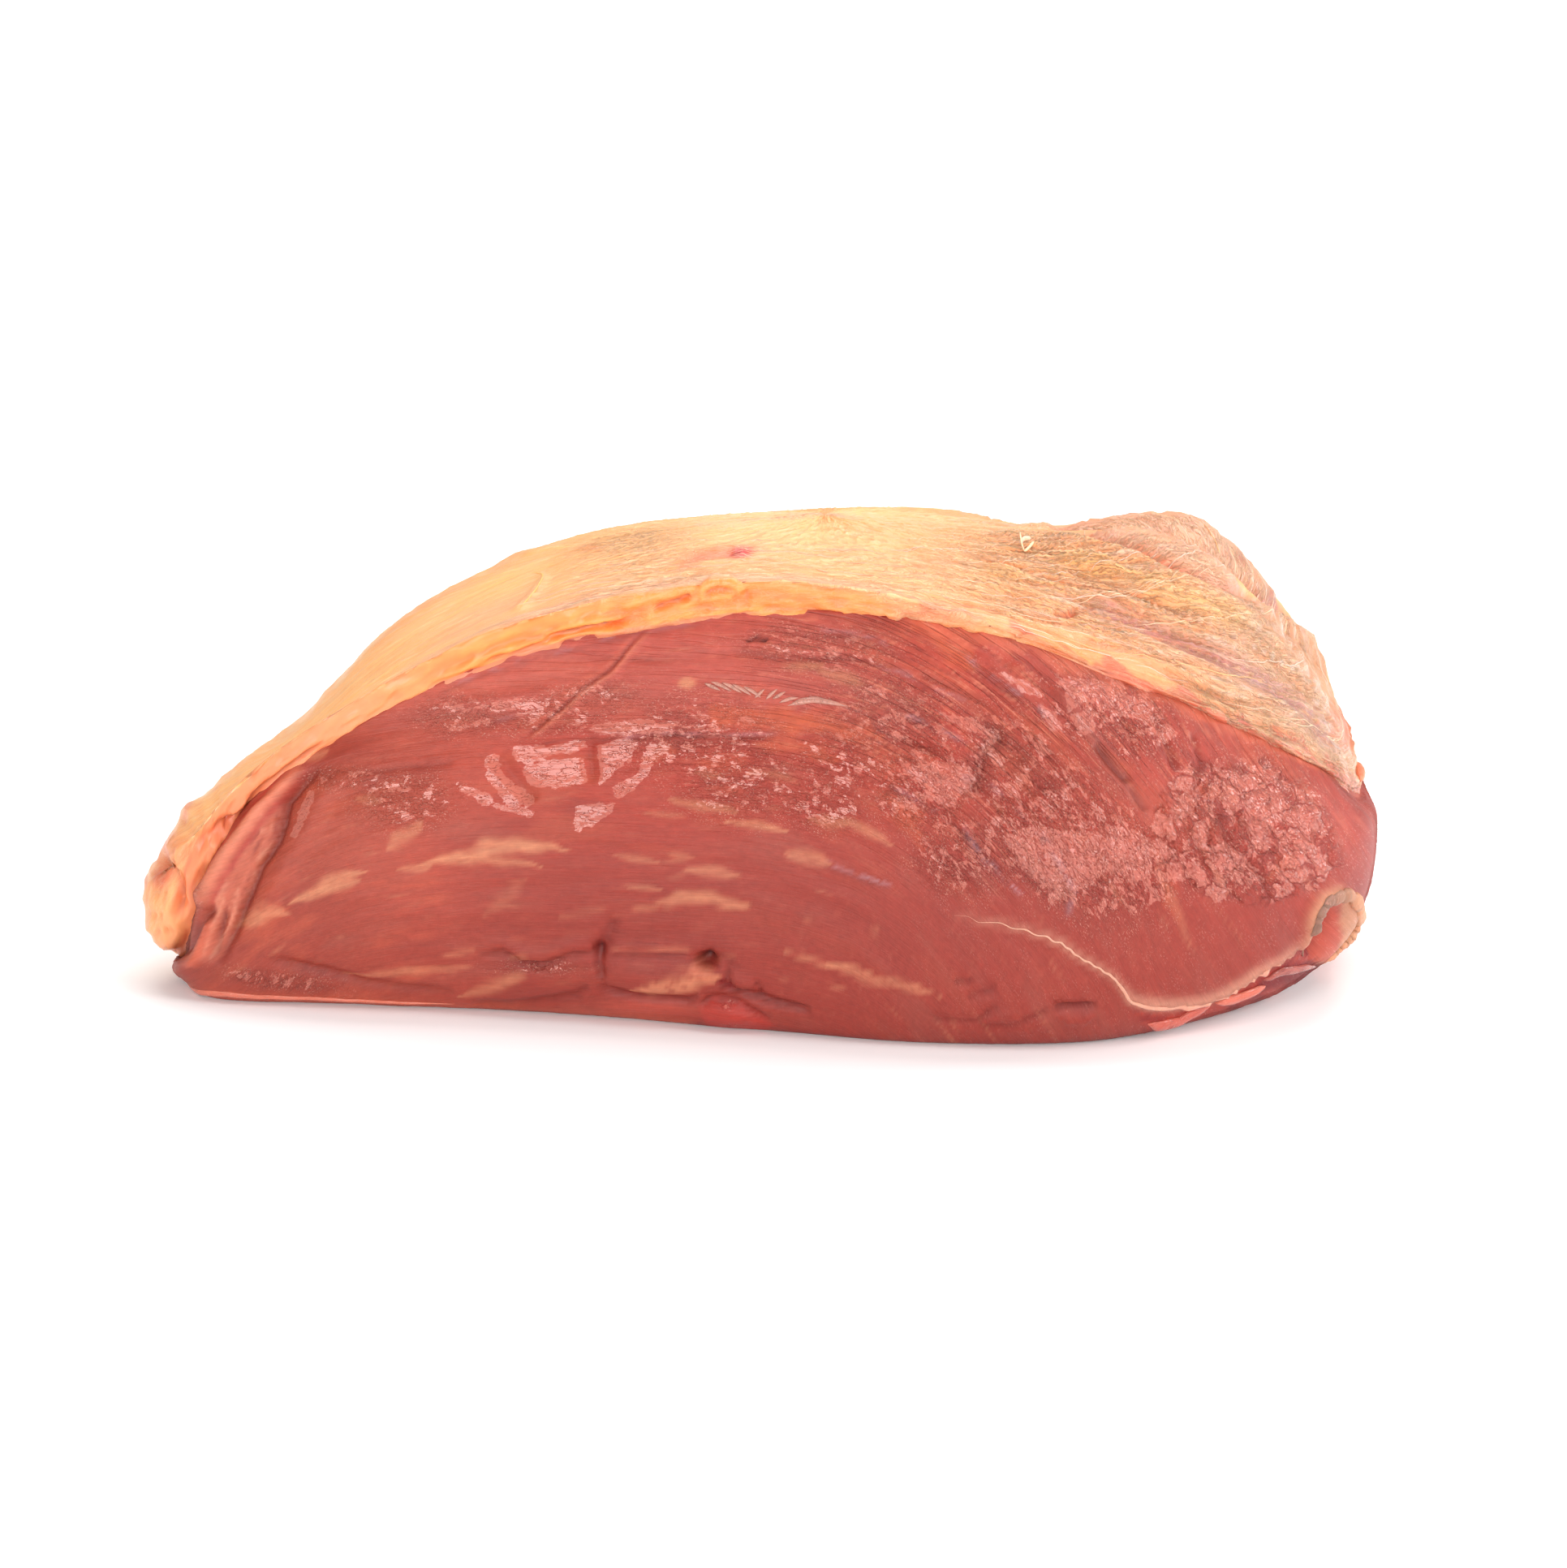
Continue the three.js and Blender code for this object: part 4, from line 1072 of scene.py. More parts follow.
shade = meat.mapped(fine_fibre, 0.3, 0.7, 0.93, 1.07)
shade = meat.times(shade, meat.mapped(mottle, 0.3, 0.7, 0.92, 1.08))
shade_colour = meat.tree.nodes.new("ShaderNodeCombineColor")
for socket in shade_colour.inputs[:3]:
    meat.link(shade, socket)
paint = meat.mix(1.0, meat.attribute("tint", "Vector"), shade_colour.outputs[0], "MULTIPLY")
paint = meat.mix(meat.times(dark_thread, 0.14), paint, (*SHADOW_RED, 1))
paint = meat.mix(meat.times(pale_thread, 0.35), paint, (*PINK_FOLD, 1))
# Painted highlight: the moist film's glints, between its worm-like cracks, are painted pale pink.
paint = meat.mix(meat.times(meat.times(smooth_film, worm_lines), 0.36), paint, (*WET_HIGHLIGHT, 1))
# Painted highlight: the drops are painted pale pink as well as made glossy.
paint = meat.mix(meat.times(drops, 0.45), paint, (*DROP_HIGHLIGHT, 1))
cracks = meat.times(meat.math("SUBTRACT", 1.0, facet_gap), meat.mapped(cobbled, 0.4, 0.8))
paint = meat.mix(meat.times(cracks, 0.22), paint, (*SHADOW_RED, 1))
meat.link(paint, meat.shader.inputs["Base Color"])
meat.link(meat.mapped(shine, 0.0, 1.0, 0.5, 0.12), meat.shader.inputs["Roughness"])

cobbles = meat.noise(grain_at, (0.3, 0.42, 0), 2.0, 0.5, 0.8)
waves = meat.noise(grain_at, (0.45, 0.9, 0), 1.0, 0.5)
bumped = meat.bump(cobbles, 0.0009, cobbled)
bumped = meat.bump(meat.mapped(facet_edge, 0.0, 0.35), 0.0009, meat.mapped(cobbled, 0.4, 0.8), bumped)
bumped = meat.bump(waves, 0.0001, smooth_film, bumped)
bumped = meat.bump(dark_thread, -0.0002, 1.0, bumped)
bumped = meat.bump(worm_lines, 0.0001, meat.math("MAXIMUM", rippled, wetness), bumped)
bumped = meat.bump(worms, 0.0003, meat.times(rippled, bare), bumped)
bumped = meat.bump(ragged, 0.0002, meat.times(rippled, bare), bumped)
bumped = meat.bump(drops, 0.0001, meat.times(rippled, bare), bumped)
bumped = meat.bump(fine_fibre, 0.00008, bare, bumped)
meat.link(bumped, meat.shader.inputs["Normal"])
meat.shader.inputs["Subsurface Weight"].default_value = 0.2
meat.shader.inputs["Subsurface Radius"].default_value = (1.0, 0.3, 0.2)
meat.shader.inputs["Subsurface Scale"].default_value = 0.003
meat.shader.inputs["Specular IOR Level"].default_value = 0.36
lean.data.materials.append(meat.material)
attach(lean, "root")
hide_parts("lean")

# ==== Fat cap ====
# The layer of firm yellow fat over the whole top, 5 to 7 mm thick, cut off along the face in a
# rounded, lumpy orange edge. Its skin is fibrous and wrinkled along the muscle. At the thick end it
# thins out to a peach film over the lean, and a mauve band of silverskin crosses it.
TUCK = 0.9                                       # how far the cut edge starts inside the lean
FAT_COLUMNS = 640
LIP_ROWS = 16
TOP_ROWS = 132

fat_columns = even_columns(FAT_COLUMNS)
section_values, outward = outline_at(fat_columns)
thin_edge = smooth(12, 40, section_values[:, 0]) * (1 - smooth(-30, -8, section_values[:, 1]))
section_values[:, 6] *= 1 - 0.8 * thin_edge
section_values[:, 7] *= 1 - 0.6 * thin_edge

lip_shares = np.linspace(0, 1, LIP_ROWS, endpoint=False)
lip_turn = (lip_shares * math.pi / 2)[:, None]
lip_inward = (section_values[None, :, 5] - section_values[None, :, 6] * np.sin(lip_turn)
              + 0.5 * TUCK * np.cos(lip_turn))
lip_height = (section_values[None, :, 4] - TUCK
              + (section_values[None, :, 7] + TUCK) * (1 - np.cos(lip_turn)))
lip_plan = section_values[None, :, :2] - outward[None] * lip_inward[..., None]
lip_base = np.concatenate([lip_plan, lip_height[..., None]], 2)
top_shares = np.linspace(0, 0.985, TOP_ROWS) ** 1.3
top_base = top_rows(fat_columns, section_values, outward, top_shares, 1)
fat_base = np.concatenate([lip_base, top_base])
fat_normal = grid_normals(fat_base)
fat_facing = smooth(-0.12, 0.0, fat_normal @ towards_eye)
cap = Chart(fat_base, fat_facing)
cx = cap.spot[..., 0]                            # how far right in the frame each point is seen
fat_x, fat_y, fat_z = np.moveaxis(fat_base, 2, 0)
lip_part = np.concatenate([lip_shares, np.full(TOP_ROWS, 1.0)])[:, None] * np.ones_like(fat_x)
step_up = np.linalg.norm(np.diff(fat_base, axis=0), axis=2)
fat_across = np.concatenate([np.zeros((1, FAT_COLUMNS)), np.cumsum(step_up, 0)])
step_along = np.linalg.norm(np.roll(lip_base[-1], -1, 0) - lip_base[-1], axis=1)
fat_along = np.concatenate([[0], np.cumsum(step_along)[:-1]])[None] * np.ones_like(fat_x)


def ridged(along, across, seed, octaves=2):
    """Sharp ridges with round hollows: 1 where the noise is 0, falling off to both sides."""
    return 1 - np.minimum(1, 2.2 * np.abs(noise(along, across, seed, octaves)))


# Relief: lengthwise folds and crevices, soft lumps on the back, strings at the thick end.
thick_end = smooth(1080, 1300, cx) * fat_facing
middle_net = smooth(620, 820, cx) * fat_facing
sway = fat_across + 1.3 * noise(fat_along / 17, fat_across / 9, 60.0, 2)
fold = noise(fat_along / 26, sway / 3.4, 61.0, 2)
string = ridged(fat_along / 38, sway / 2.7, 62.0)
fine_string = ridged(fat_along / 20, sway / 1.35, 64.0)
net = ridged(fat_along / 7, sway / 2.4, 66.0, 3)
dimple = noise(fat_x / 9, fat_y / 9, 63.0, 3)
wide = noise(fat_x / 34, fat_y / 26, 65.0, 2)
fat_relief = 0.28 * fold + 0.2 * dimple + 0.5 * wide
fat_relief += thick_end * (0.75 * (string - 0.5) + 0.3 * (fine_string - 0.5))
fat_relief += (middle_net - 0.6 * thick_end) * 0.22 * (net - 0.5) + 0.06 * (net - 0.5)
fat_relief *= smooth(0, 0.3, lip_part)
lip_lumps = noise(fat_along / 6, lip_part * 2.0 + fat_across / 4, 67.0, 3)
on_lip = smooth(0.02, 0.4, lip_part) * np.exp(-np.maximum(fat_across - 6, 0) / 2) * (1 - thin_edge)
fine_lumps = noise(fat_along / 2.6, lip_part * 1.4 + fat_across / 2.2, 68.0, 2)
fat_relief += (0.55 * lip_lumps + 0.25 * fine_lumps) * on_lip

ROLLS = [  # rolls of fat: path, half width in pixels, height in mm, share of the length that dies down
    ([(430, 912), (490, 884), (560, 846), (640, 815), (700, 797)], 11, 0.9, 0.3),
    ([(620, 812), (690, 795), (762, 777), (853, 760), (930, 756)], 10, 1.0, 0.25),
    ([(880, 757), (950, 754), (1020, 757), (1075, 764)], 9, 0.8, 0.25),
    ([(560, 826), (620, 803), (676, 787)], 9, 0.9, 0.4),
    ([(664, 787), (700, 775), (740, 764), (776, 757)], 8, 1.0, 0.3),
    ([(770, 764), (806, 755), (846, 744), (868, 740)], 8, 0.9, 0.3),
    ([(760, 748), (800, 739), (836, 729)], 8, 0.8, 0.3),
    ([(866, 742), (866, 726), (880, 717), (899, 717), (911, 724), (913, 738)], 6, 1.0, 0.2),
    ([(874, 736), (888, 732), (900, 735), (902, 744)], 5, 0.7, 0.3),
    ([(918, 738), (940, 740), (962, 746)], 8, 0.6, 0.3),
    ([(1020, 757), (1060, 754), (1090, 758)], 8, 0.7, 0.3),
    ([(1090, 752), (1102, 757), (1112, 764)], 7, 1.0, 0.3),
    ([(1160, 770), (1180, 762), (1200, 762)], 10, 0.7, 0.4),
    ([(1186, 774), (1206, 770), (1222, 764)], 8, 0.7, 0.4),
    ([(300, 1012), (330, 985), (372, 955), (430, 916)], 12, 1.0, 0.3),
    ([(248, 1070), (262, 1046), (300, 1016)], 10, 1.0, 0.3),
    ([(1302, 686), (1330, 688), (1358, 694), (1388, 708)], 10, 1.3, 0.35),
    ([(1280, 674), (1310, 678), (1336, 686)], 8, 0.8, 0.4),
    ([(1404, 712), (1428, 722), (1452, 740)], 12, 1.2, 0.35),
    ([(1434, 722), (1462, 732), (1490, 742)], 9, 0.9, 0.35),
    ([(1462, 744), (1484, 750), (1506, 764)], 10, 1.1, 0.35),
    ([(1500, 738), (1526, 752), (1556, 772)], 10, 1.0, 0.35),
    ([(1210, 700), (1240, 702), (1262, 712)], 10, 0.6, 0.4),
    ([(1330, 728), (1370, 738), (1420, 756)], 8, 0.7, 0.4),
    ([(1400, 748), (1440, 762), (1476, 780)], 9, 0.7, 0.4),
    ([(1216, 660), (1250, 664), (1286, 674)], 8, 0.6, 0.4),
    ([(1470, 776), (1500, 788), (1534, 806)], 7, 0.6, 0.4),
    ([(1440, 812), (1470, 820), (1500, 828)], 8, 0.5, 0.4),
    ([(1480, 866), (1500, 880), (1516, 893)], 9, 0.6, 0.4),
    ([(1380, 815), (1420, 830), (1460, 846)], 8, 0.5, 0.4),
]
roll_height = np.zeros_like(fat_x)
for path, half, height, ends in ROLLS:
    roll_height = np.maximum(roll_height, height * cap.roll(path, half, ends))
fat_relief += roll_height
tip_end = (1 - smooth(250, 320, cx)) * fat_facing
tip_lumps = noise(fat_x / 3.2, fat_z / 3.0, 95.0, 2)
fat_relief += tip_end * (0.7 * np.abs(tip_lumps) - 0.15)

LIP_SLITS = [
    ([(600, 812), (640, 801), (676, 790)], 2.4, -1.2),
    ([(672, 785), (700, 779), (740, 769), (768, 768)], 2.6, -2.2),
    ([(806, 750), (830, 742), (852, 735)], 2.6, -2.0), ([(770, 762), (800, 757)], 3, -0.5),
    ([(868, 730), (884, 725), (898, 729)], 3, -0.8), ([(470, 892), (500, 876), (530, 860)], 3.5, -0.8),
    ([(940, 750), (990, 750), (1040, 754)], 3, -0.7), ([(690, 792), (716, 784), (736, 781)], 3, -0.9),
    ([(360, 960), (392, 934), (430, 912)], 4, -0.8), ([(262, 1040), (290, 1010), (330, 976)], 4, -0.7),
    ([(916, 726), (920, 736), (918, 744)], 3, -0.6),
]
RIDGE = [(1290, 660), (1313, 662), (1357, 672), (1392, 682), (1424, 697), (1465, 714), (1512, 732),
         (1553, 747), (1603, 776), (1636, 806)]
FAT_LINES = [  # path, half width in pixels, height in mm
    ([(666, 706), (672, 714), (655, 733), (634, 752)], 4, 0.6),
    ([(594, 694), (640, 684), (690, 675)], 3, 0.5),
    ([(1130, 728), (1189, 738), (1235, 749), (1320, 765)], 4, 0.5),
    ([(1130, 735), (1189, 745), (1235, 756)], 4, -0.5),
    ([(1296, 756), (1316, 757), (1328, 749)], 4, -1.7), ([(1326, 750), (1350, 748)], 5, -0.6),
    ([(200, 1054), (211, 1071), (223, 1091), (226, 1111), (220, 1126)], 6, -1.3),
    ([(237, 1146), (228, 1160), (212, 1176)], 5, -1.6),
    ([(230, 1010), (246, 1030), (258, 1052)], 6, -0.7),
    ([(296, 1010), (270, 1022), (240, 1040), (222, 1064)], 7, -0.8),
    ([(244, 1012), (226, 1032), (214, 1052)], 6, 0.8),
    ([(400, 912), (353, 947), (322, 972), (299, 1004), (264, 1020)], 3.6, -1.5),
    ([(300, 1000), (286, 1016), (262, 1034)], 4, -0.7),
    ([(420, 898), (372, 930), (336, 958), (312, 990), (280, 1008)], 9, 0.9),
    ([(208, 1050), (204, 1068), (196, 1084)], 3.5, -0.9),
    ([(212, 1062), (222, 1086), (226, 1110), (222, 1128)], 3.5, -1.2),
    ([(186, 1120), (198, 1126), (210, 1124)], 3, -0.6),
    ([(192, 1096), (204, 1100), (214, 1096)], 3, -0.6),
    ([(196, 1146), (208, 1142), (218, 1146)], 3, -0.6),
    (RIDGE, 8, 1.0), (moved(RIDGE, 2, -13), 8, -3.0),
    ([(1360, 746), (1401, 767), (1448, 790), (1509, 814), (1568, 843), (1612, 878), (1641, 913)], 8,
     -0.5),
    ([(1366, 742), (1410, 760), (1460, 780), (1520, 806), (1580, 838), (1625, 876), (1648, 905)], 3, 0.6),
    ([(1352, 756), (1400, 780), (1450, 803), (1510, 830), (1570, 862), (1620, 900), (1650, 930)], 3, 0.6),
    ([(1300, 772), (1400, 800), (1500, 842), (1590, 884), (1650, 930)], 4, 0.6),
    ([(1330, 800), (1420, 836), (1500, 868), (1540, 885)], 4, 0.5),
    ([(1225, 700), (1300, 720), (1380, 750)], 4, 0.4),
    ([(1180, 680), (1260, 700), (1350, 730), (1440, 770)], 3, -0.6),
    ([(1320, 704), (1400, 730), (1480, 766)], 3, -0.7),
    ([(1440, 780), (1520, 800), (1590, 840), (1640, 890)], 3, -0.6),
    ([(1410, 820), (1500, 856), (1600, 920)], 3, -0.5),
    ([(1228, 790), (1250, 786), (1268, 776)], 3, -0.5), ([(848, 690), (880, 683), (905, 680)], 6, -0.5),
    ([(1500, 728), (1560, 760), (1610, 800), (1640, 840)], 3, -0.6),
    ([(1530, 780), (1590, 822), (1640, 880)], 3, 0.6),
]
FAT_KNOBS = [
    ((207, 1134), (26, 40), 1.3), ((232, 994), (18, 22), 2.6), ((214, 1036), (16, 20), 1.0),
    ((196, 1110), (8, 10), 0.8), ((190, 1140), (9, 12), 0.7), ((208, 1158), (12, 9), 0.8),
    ((214, 1112), (7, 12), 0.9), ((1655, 900), (12, 26), 0.6), ((915, 683), (6, 4), 0.5),
]
for path, half, height in FAT_LINES + LIP_SLITS:
    fat_relief += height * cap.line(path, half)
for centre, size, height in FAT_KNOBS:
    fat_relief += height * cap.spot_at(centre, size)
fat_points = fat_base + fat_normal * fat_relief[..., None]

# Colours of the fat: cream and yellow on the back, deep orange on the cut edge, peach and pale
# strings at the thick end, coral at the tip.
CREAM = colour(255, 185, 122)
YELLOW = colour(254, 184, 106)
PEACH = colour(250, 168, 112)
WHITE_FIBRE = colour(255, 212, 168)
LIP_ORANGE = colour(244, 128, 62)
LIP_PALE_AND_HIGHLIGHT = colour(255, 160, 80)
CORAL = colour(232, 118, 80)
PINK_FAT = colour(240, 172, 138)
HUMP_PINK = colour(240, 176, 140)
PALE_SKIN = colour(244, 204, 176)
BAND_MAUVE = colour(172, 116, 112)
SKIN_GREY = colour(206, 158, 134)
VEIN = colour(204, 56, 56)
GROOVE = colour(236, 146, 92)
CREVICE_SHADE = colour(190, 98, 50)
PEACH_LIP = colour(246, 156, 110)
HUMP_TAN = colour(206, 124, 98)
TIP_RED = colour(206, 74, 60)
EDGE_SILVER = colour(190, 122, 106)

fat_tint = np.ones(fat_base.shape) * CREAM
patchy = noise(fat_x / 24, fat_y / 18, 71.0, 3)
yellow_side = 0.3 + 0.7 * (1 - smooth(600, 900, cx))
fat_tint = blend(fat_tint, YELLOW, smooth(-0.2, 0.6, patchy) * 0.6 * yellow_side)
fat_tint = blend(fat_tint, PEACH, smooth(0.0, 0.7, noise(fat_x / 18, fat_y / 12, 75.0, 3)) * 0.5)
strand = noise(fat_along / 9, sway / 1.3, 77.0, 3)
fat_tint = layered(fat_tint, [
    (PEACH, smooth(0.0, 0.7, strand) * 0.45),
    (WHITE_FIBRE, smooth(0.1, 0.7, -strand) * 0.4),
    (GROOVE, thick_end * 0.34),
    (SKIN_GREY, smooth(1380, 1580, cx) * fat_facing * 0.4),
])
pale_string = smooth(0.0, 0.7, noise(fat_along / 22, sway / 1.3, 79.0, 3))
# The hollows between the strings at the thick end and in the middle net are painted a deeper orange, as
# painted shade.
fat_tint = layered(fat_tint, [
    (PALE_SKIN, thick_end * smooth(4, 12, fat_across) * pale_string * 0.8),
    (GROOVE, thick_end * np.clip(0.5 - string, 0, 0.5) * 1.1 * smooth(0, 0.3, lip_part)),
    (GROOVE, middle_net * smooth(0.45, 0.05, net) * 0.3),
])
lip_top = np.interp(cx, [230, 400, 700, 850, 900, 1000, 1100], [8.0, 7.5, 6.6, 7.6, 7.4, 6.0, 4.0])
lip_mask = 1 - smooth(lip_top - 0.6, lip_top + 0.8, fat_across + 0.7 * lip_lumps)
lip_mask = lip_mask * (1 - smooth(1060, 1130, cx)) * fat_facing
fat_tint = blend(fat_tint, LIP_ORANGE, np.clip(lip_mask, 0, 1))
# Painted highlights: the lip's lumps and rolls, and a band along its rounded rim, are painted lighter.
lip_highlight = lip_mask * np.clip(0.55 * smooth(-0.2, 0.5, lip_lumps) + 0.5 * roll_height, 0, 1)
fat_tint = blend(fat_tint, LIP_PALE_AND_HIGHLIGHT, lip_highlight)
lip_rim_highlight = np.exp(-((fat_across - lip_top + 1.0) / 1.2) ** 2) * (1 - smooth(1060, 1130, cx)) * fat_facing
fat_tint = blend(fat_tint, LIP_PALE_AND_HIGHLIGHT, lip_rim_highlight * 0.6)
pink_shelf = np.exp(-((fat_across - lip_top - 4) / 3.0) ** 2) * (1 - smooth(1060, 1160, cx))
pink_shelf = pink_shelf * smooth(440, 560, cx) * fat_facing
fat_tint = blend(fat_tint, PINK_FAT, pink_shelf * 0.6)
tip_lip = (1 - smooth(330, 470, cx)) * lip_mask
fat_tint = blend(fat_tint, PEACH_LIP, (1 - smooth(420, 620, cx)) * lip_mask * 0.8)
fat_tint = blend(fat_tint, CORAL, tip_lip * 0.35)
film_noise = noise(fat_along / 5, fat_across / 4, 81.0, 2)
film = thick_end * (1 - smooth(6, 14, fat_across + 3 * film_noise)) * (1 - smooth(1400, 1500, cx))
fat_tint = blend(fat_tint, PEACH, film * 0.7)
fat_tint = blend(fat_tint, LIP_PALE_AND_HIGHLIGHT, film * 0.4 * smooth(-0.2, 0.4, film_noise))
ragged_edge = 2.6 + 3.6 * noise(fat_along / 6, 0.3, 83.0, 4)
ragged_edge = ragged_edge + 0.8 * noise(fat_along / 2, fat_across / 2, 88.0, 2)
feather = smooth(1080, 1140, cx) * fat_facing * (1 - smooth(0.0, 1.6, fat_across - TUCK - ragged_edge))
fat_tint = blend(fat_tint, CORAL_LEAN, feather * 0.9)
far_hump = cap.region([(1296, 600), (1296, 650)] + moved(RIDGE, 2, -14) + [(1700, 800), (1700, 600)], 5)
fat_tint = blend(fat_tint, HUMP_PINK, far_hump * (0.55 + 0.4 * smooth(-0.3, 0.5, dimple)))
behind_hump = smooth(18, 30, fat_y) * smooth(40, 60, fat_x) * (1 - fat_facing)
fat_tint = blend(fat_tint, HUMP_PINK, behind_hump * 0.6)
YELLOW_LUMPS = [((1346, 696), (48, 14), 12), ((1440, 728), (50, 16), 22), ((1500, 752), (40, 16), 26),
                ((1240, 706), (36, 10), 8)]
for centre, size, turn in YELLOW_LUMPS:
    fat_tint = blend(fat_tint, YELLOW, cap.spot_at(centre, size, turn, 4) * 0.6)
SILVER_BAND = [(1340, 742), (1401, 768), (1448, 791), (1509, 816), (1568, 846), (1612, 882), (1648, 927)]
band_gaps = smooth(-0.55, 0.1, noise(fat_along / 30, sway / 1.3, 87.0, 2))
band = cap.line(SILVER_BAND, 13, ends=0.1) * band_gaps
fat_tint = blend(fat_tint, BAND_MAUVE, band * 0.95)
FAT_MARKS = [  # centre, half sizes, turn, colour, strength
    ((890, 682), (50, 9), -9, CORAL, 0.75), ((855, 694), (26, 7), -24, CORAL, 0.6),
    ((913, 683), (16, 8), -10, VEIN, 1.0), ((658, 664), (16, 7), 0, PINK_FAT, 0.8),
    ((727, 677), (18, 6), 0, CORAL, 0.3), ((600, 760), (70, 16), -24, PINK_FAT, 0.3),
    ((1526, 689), (16, 7), 20, HUMP_TAN, 0.8), ((1584, 738), (22, 22), 40, BAND_MAUVE, 0.85),
    ((1655, 900), (14, 30), -20, CORAL, 0.8), ((1200, 770), (60, 14), 12, PEACH, 0.6),
    ((1320, 754), (10, 5), 0, CORAL, 0.7), ((200, 1082), (12, 14), 0, TIP_RED, 0.8),
    ((216, 1050), (26, 26), 0, CORAL, 0.5), ((207, 1134), (26, 40), 0, PEACH, 0.9),
    ((227, 1176), (14, 24), -20, SHADOW_RED, 0.7), ((1100, 770), (34, 10), 14, CORAL, 0.5),
    ((1660, 985), (14, 40), -10, CORAL, 0.4), ((1240, 790), (110, 14), 12, LIP_PALE_AND_HIGHLIGHT, 0.5),
    ((1150, 752), (70, 10), 8, PEACH_LIP, 0.5),
]
fat_tint = blend(fat_tint, CORAL, tip_end * np.exp(-(tip_lumps / 0.12) ** 2) * 0.6)
for centre, size, turn, paint, strength in FAT_MARKS:
    fat_tint = blend(fat_tint, paint, cap.spot_at(centre, size, turn, 4) * strength)
# Painted shade: hollows deeper than 0.45 mm are painted darker by their depth, dark orange in narrow
# slits and coral in wider ones.
for path, half, height in FAT_LINES + LIP_SLITS:
    if height < -0.45:
        paint = CREVICE_SHADE if half < 4 else CORAL
        fat_tint = blend(fat_tint, paint, cap.line(path, half * 0.8) * min(0.85, -height * 0.6))
silver_edge = (1 - smooth(0.9, 1.4, fat_across)) * smooth(470, 560, cx)
silver_edge = silver_edge * (1 - smooth(900, 960, cx)) * fat_facing
fat_tint = blend(fat_tint, EDGE_SILVER, silver_edge * 0.6)

right_shade = smooth(1020, 1300, cx)[..., None] * np.array([0.1, 0.13, 0.08])
right_shade = right_shade + smooth(1380, 1600, cx)[..., None] * np.array([0.16, 0.05, -0.04])
fat_tint *= 1 - right_shade * fat_facing[..., None]
middle_shade = smooth(560, 760, cx) * (1 - smooth(1000, 1200, cx)) * fat_facing
fat_tint *= 1 - middle_shade[..., None] * np.array([0.0, 0.06, 0.05])
fat_wet = 0.4 + 0.45 * smooth(-0.2, 0.6, noise(fat_x / 14, fat_y / 10, 91.0, 2))
fat_wet = np.clip(fat_wet + 0.2 * thick_end + 0.2 * lip_mask, 0, 1)
vein = cap.spot_at((905, 684), (44, 12), -9, 4)
fat_string = 0.36 + 0.4 * middle_net + 0.15 * thick_end + 0.3 * pink_shelf
fat_string = fat_string - 0.5 * lip_mask - 0.6 * film - 0.3 * band
fat_string *= 0.3 + 0.7 * smooth(0.05, 0.4, fat_normal @ towards_eye)
from_crown = np.hypot(fat_points[..., 0] - CROWN[0], fat_points[..., 1] - CROWN[1])
fat_string = np.clip(fat_string * (1 - 0.8 * vein) * (0.1 + 0.9 * smooth(6, 42, from_crown)), 0, 1)

hidden = top_rows(fat_columns, section_values, outward, np.array([0.3, 0.12, 0.04]), 0)
hidden[-1, :, 2] -= 0.6
fat_rings = np.concatenate([hidden, fat_points])
fat_looks = {
    "tint": fat_tint,
    "grain": np.stack([fat_along, sway, np.ones_like(fat_x)], -1),
    "wet": fat_wet,
    "string": fat_string,
}
fat_looks = padded(fat_looks, len(hidden), 0)
crown_above = CROWN.copy()
crown_above[2] = fat_points[-1, :, 2].mean() + 0.02
fat = skin_object("fat_layer", [(fat_rings, crown_below, crown_above, fat_looks)])

# Finish of cold beef fat: waxy and softly see-through, with long threads and a crumpled net of pale
# fibres, raised in the bump and painted paler, partly as their own colour and partly as painted
# highlight. The deeper orange in the hollows between the threads and the thin lines beside the net
# are painted shade.
NET_SHADE = colour(232, 148, 96)
wax = Nodes("beef_fat")
fat_grain = wax.attribute("grain", "Vector")
string_amount = wax.attribute("string", "Fac")
threads = wax.noise(fat_grain, (0.06, 1.25, 0), 4.0, 0.6, 0.35)
crumple = wax.noise(fat_grain, (0.2, 0.8, 0), 4.0, 0.62, 1.5)
crumple_lines = wax.mapped(wax.apart(crumple, 0.5), 0.0, 0.055, 1.0, 0.0)
soft_spots = wax.noise(fat_grain, (0.16, 0.4, 0), 4.0, 0.6)
warm = wax.mix(wax.mapped(soft_spots, 0.4, 0.62, 0.0, 0.3), (1, 1, 1, 1), (0.99, 0.86, 0.7, 1))
paint = wax.mix(1.0, wax.attribute("tint", "Vector"), warm, "MULTIPLY")
deep = wax.times(wax.mapped(threads, 0.46, 0.34), string_amount)
paint = wax.mix(wax.times(deep, 0.35), paint, (*GROOVE, 1))
shadow_line = wax.mapped(wax.apart(crumple, 0.42), 0.0, 0.03, 1.0, 0.0)
shadow_line = wax.times(shadow_line, wax.times(string_amount, 0.16))
paint = wax.mix(shadow_line, paint, (*NET_SHADE, 1))
pale = wax.times(wax.mapped(threads, 0.54, 0.66), wax.times(string_amount, 0.45))
paint = wax.mix(pale, paint, (*WHITE_FIBRE, 1))
pale_line = wax.times(crumple_lines, wax.times(string_amount, 0.55))
wax.link(wax.mix(pale_line, paint, (*WHITE_FIBRE, 1)), wax.shader.inputs["Base Color"])
wax.link(wax.mapped(wax.attribute("wet", "Fac"), 0.0, 1.0, 0.5, 0.27), wax.shader.inputs["Roughness"])
fat_bump = wax.bump(crumple_lines, 0.00026, string_amount)
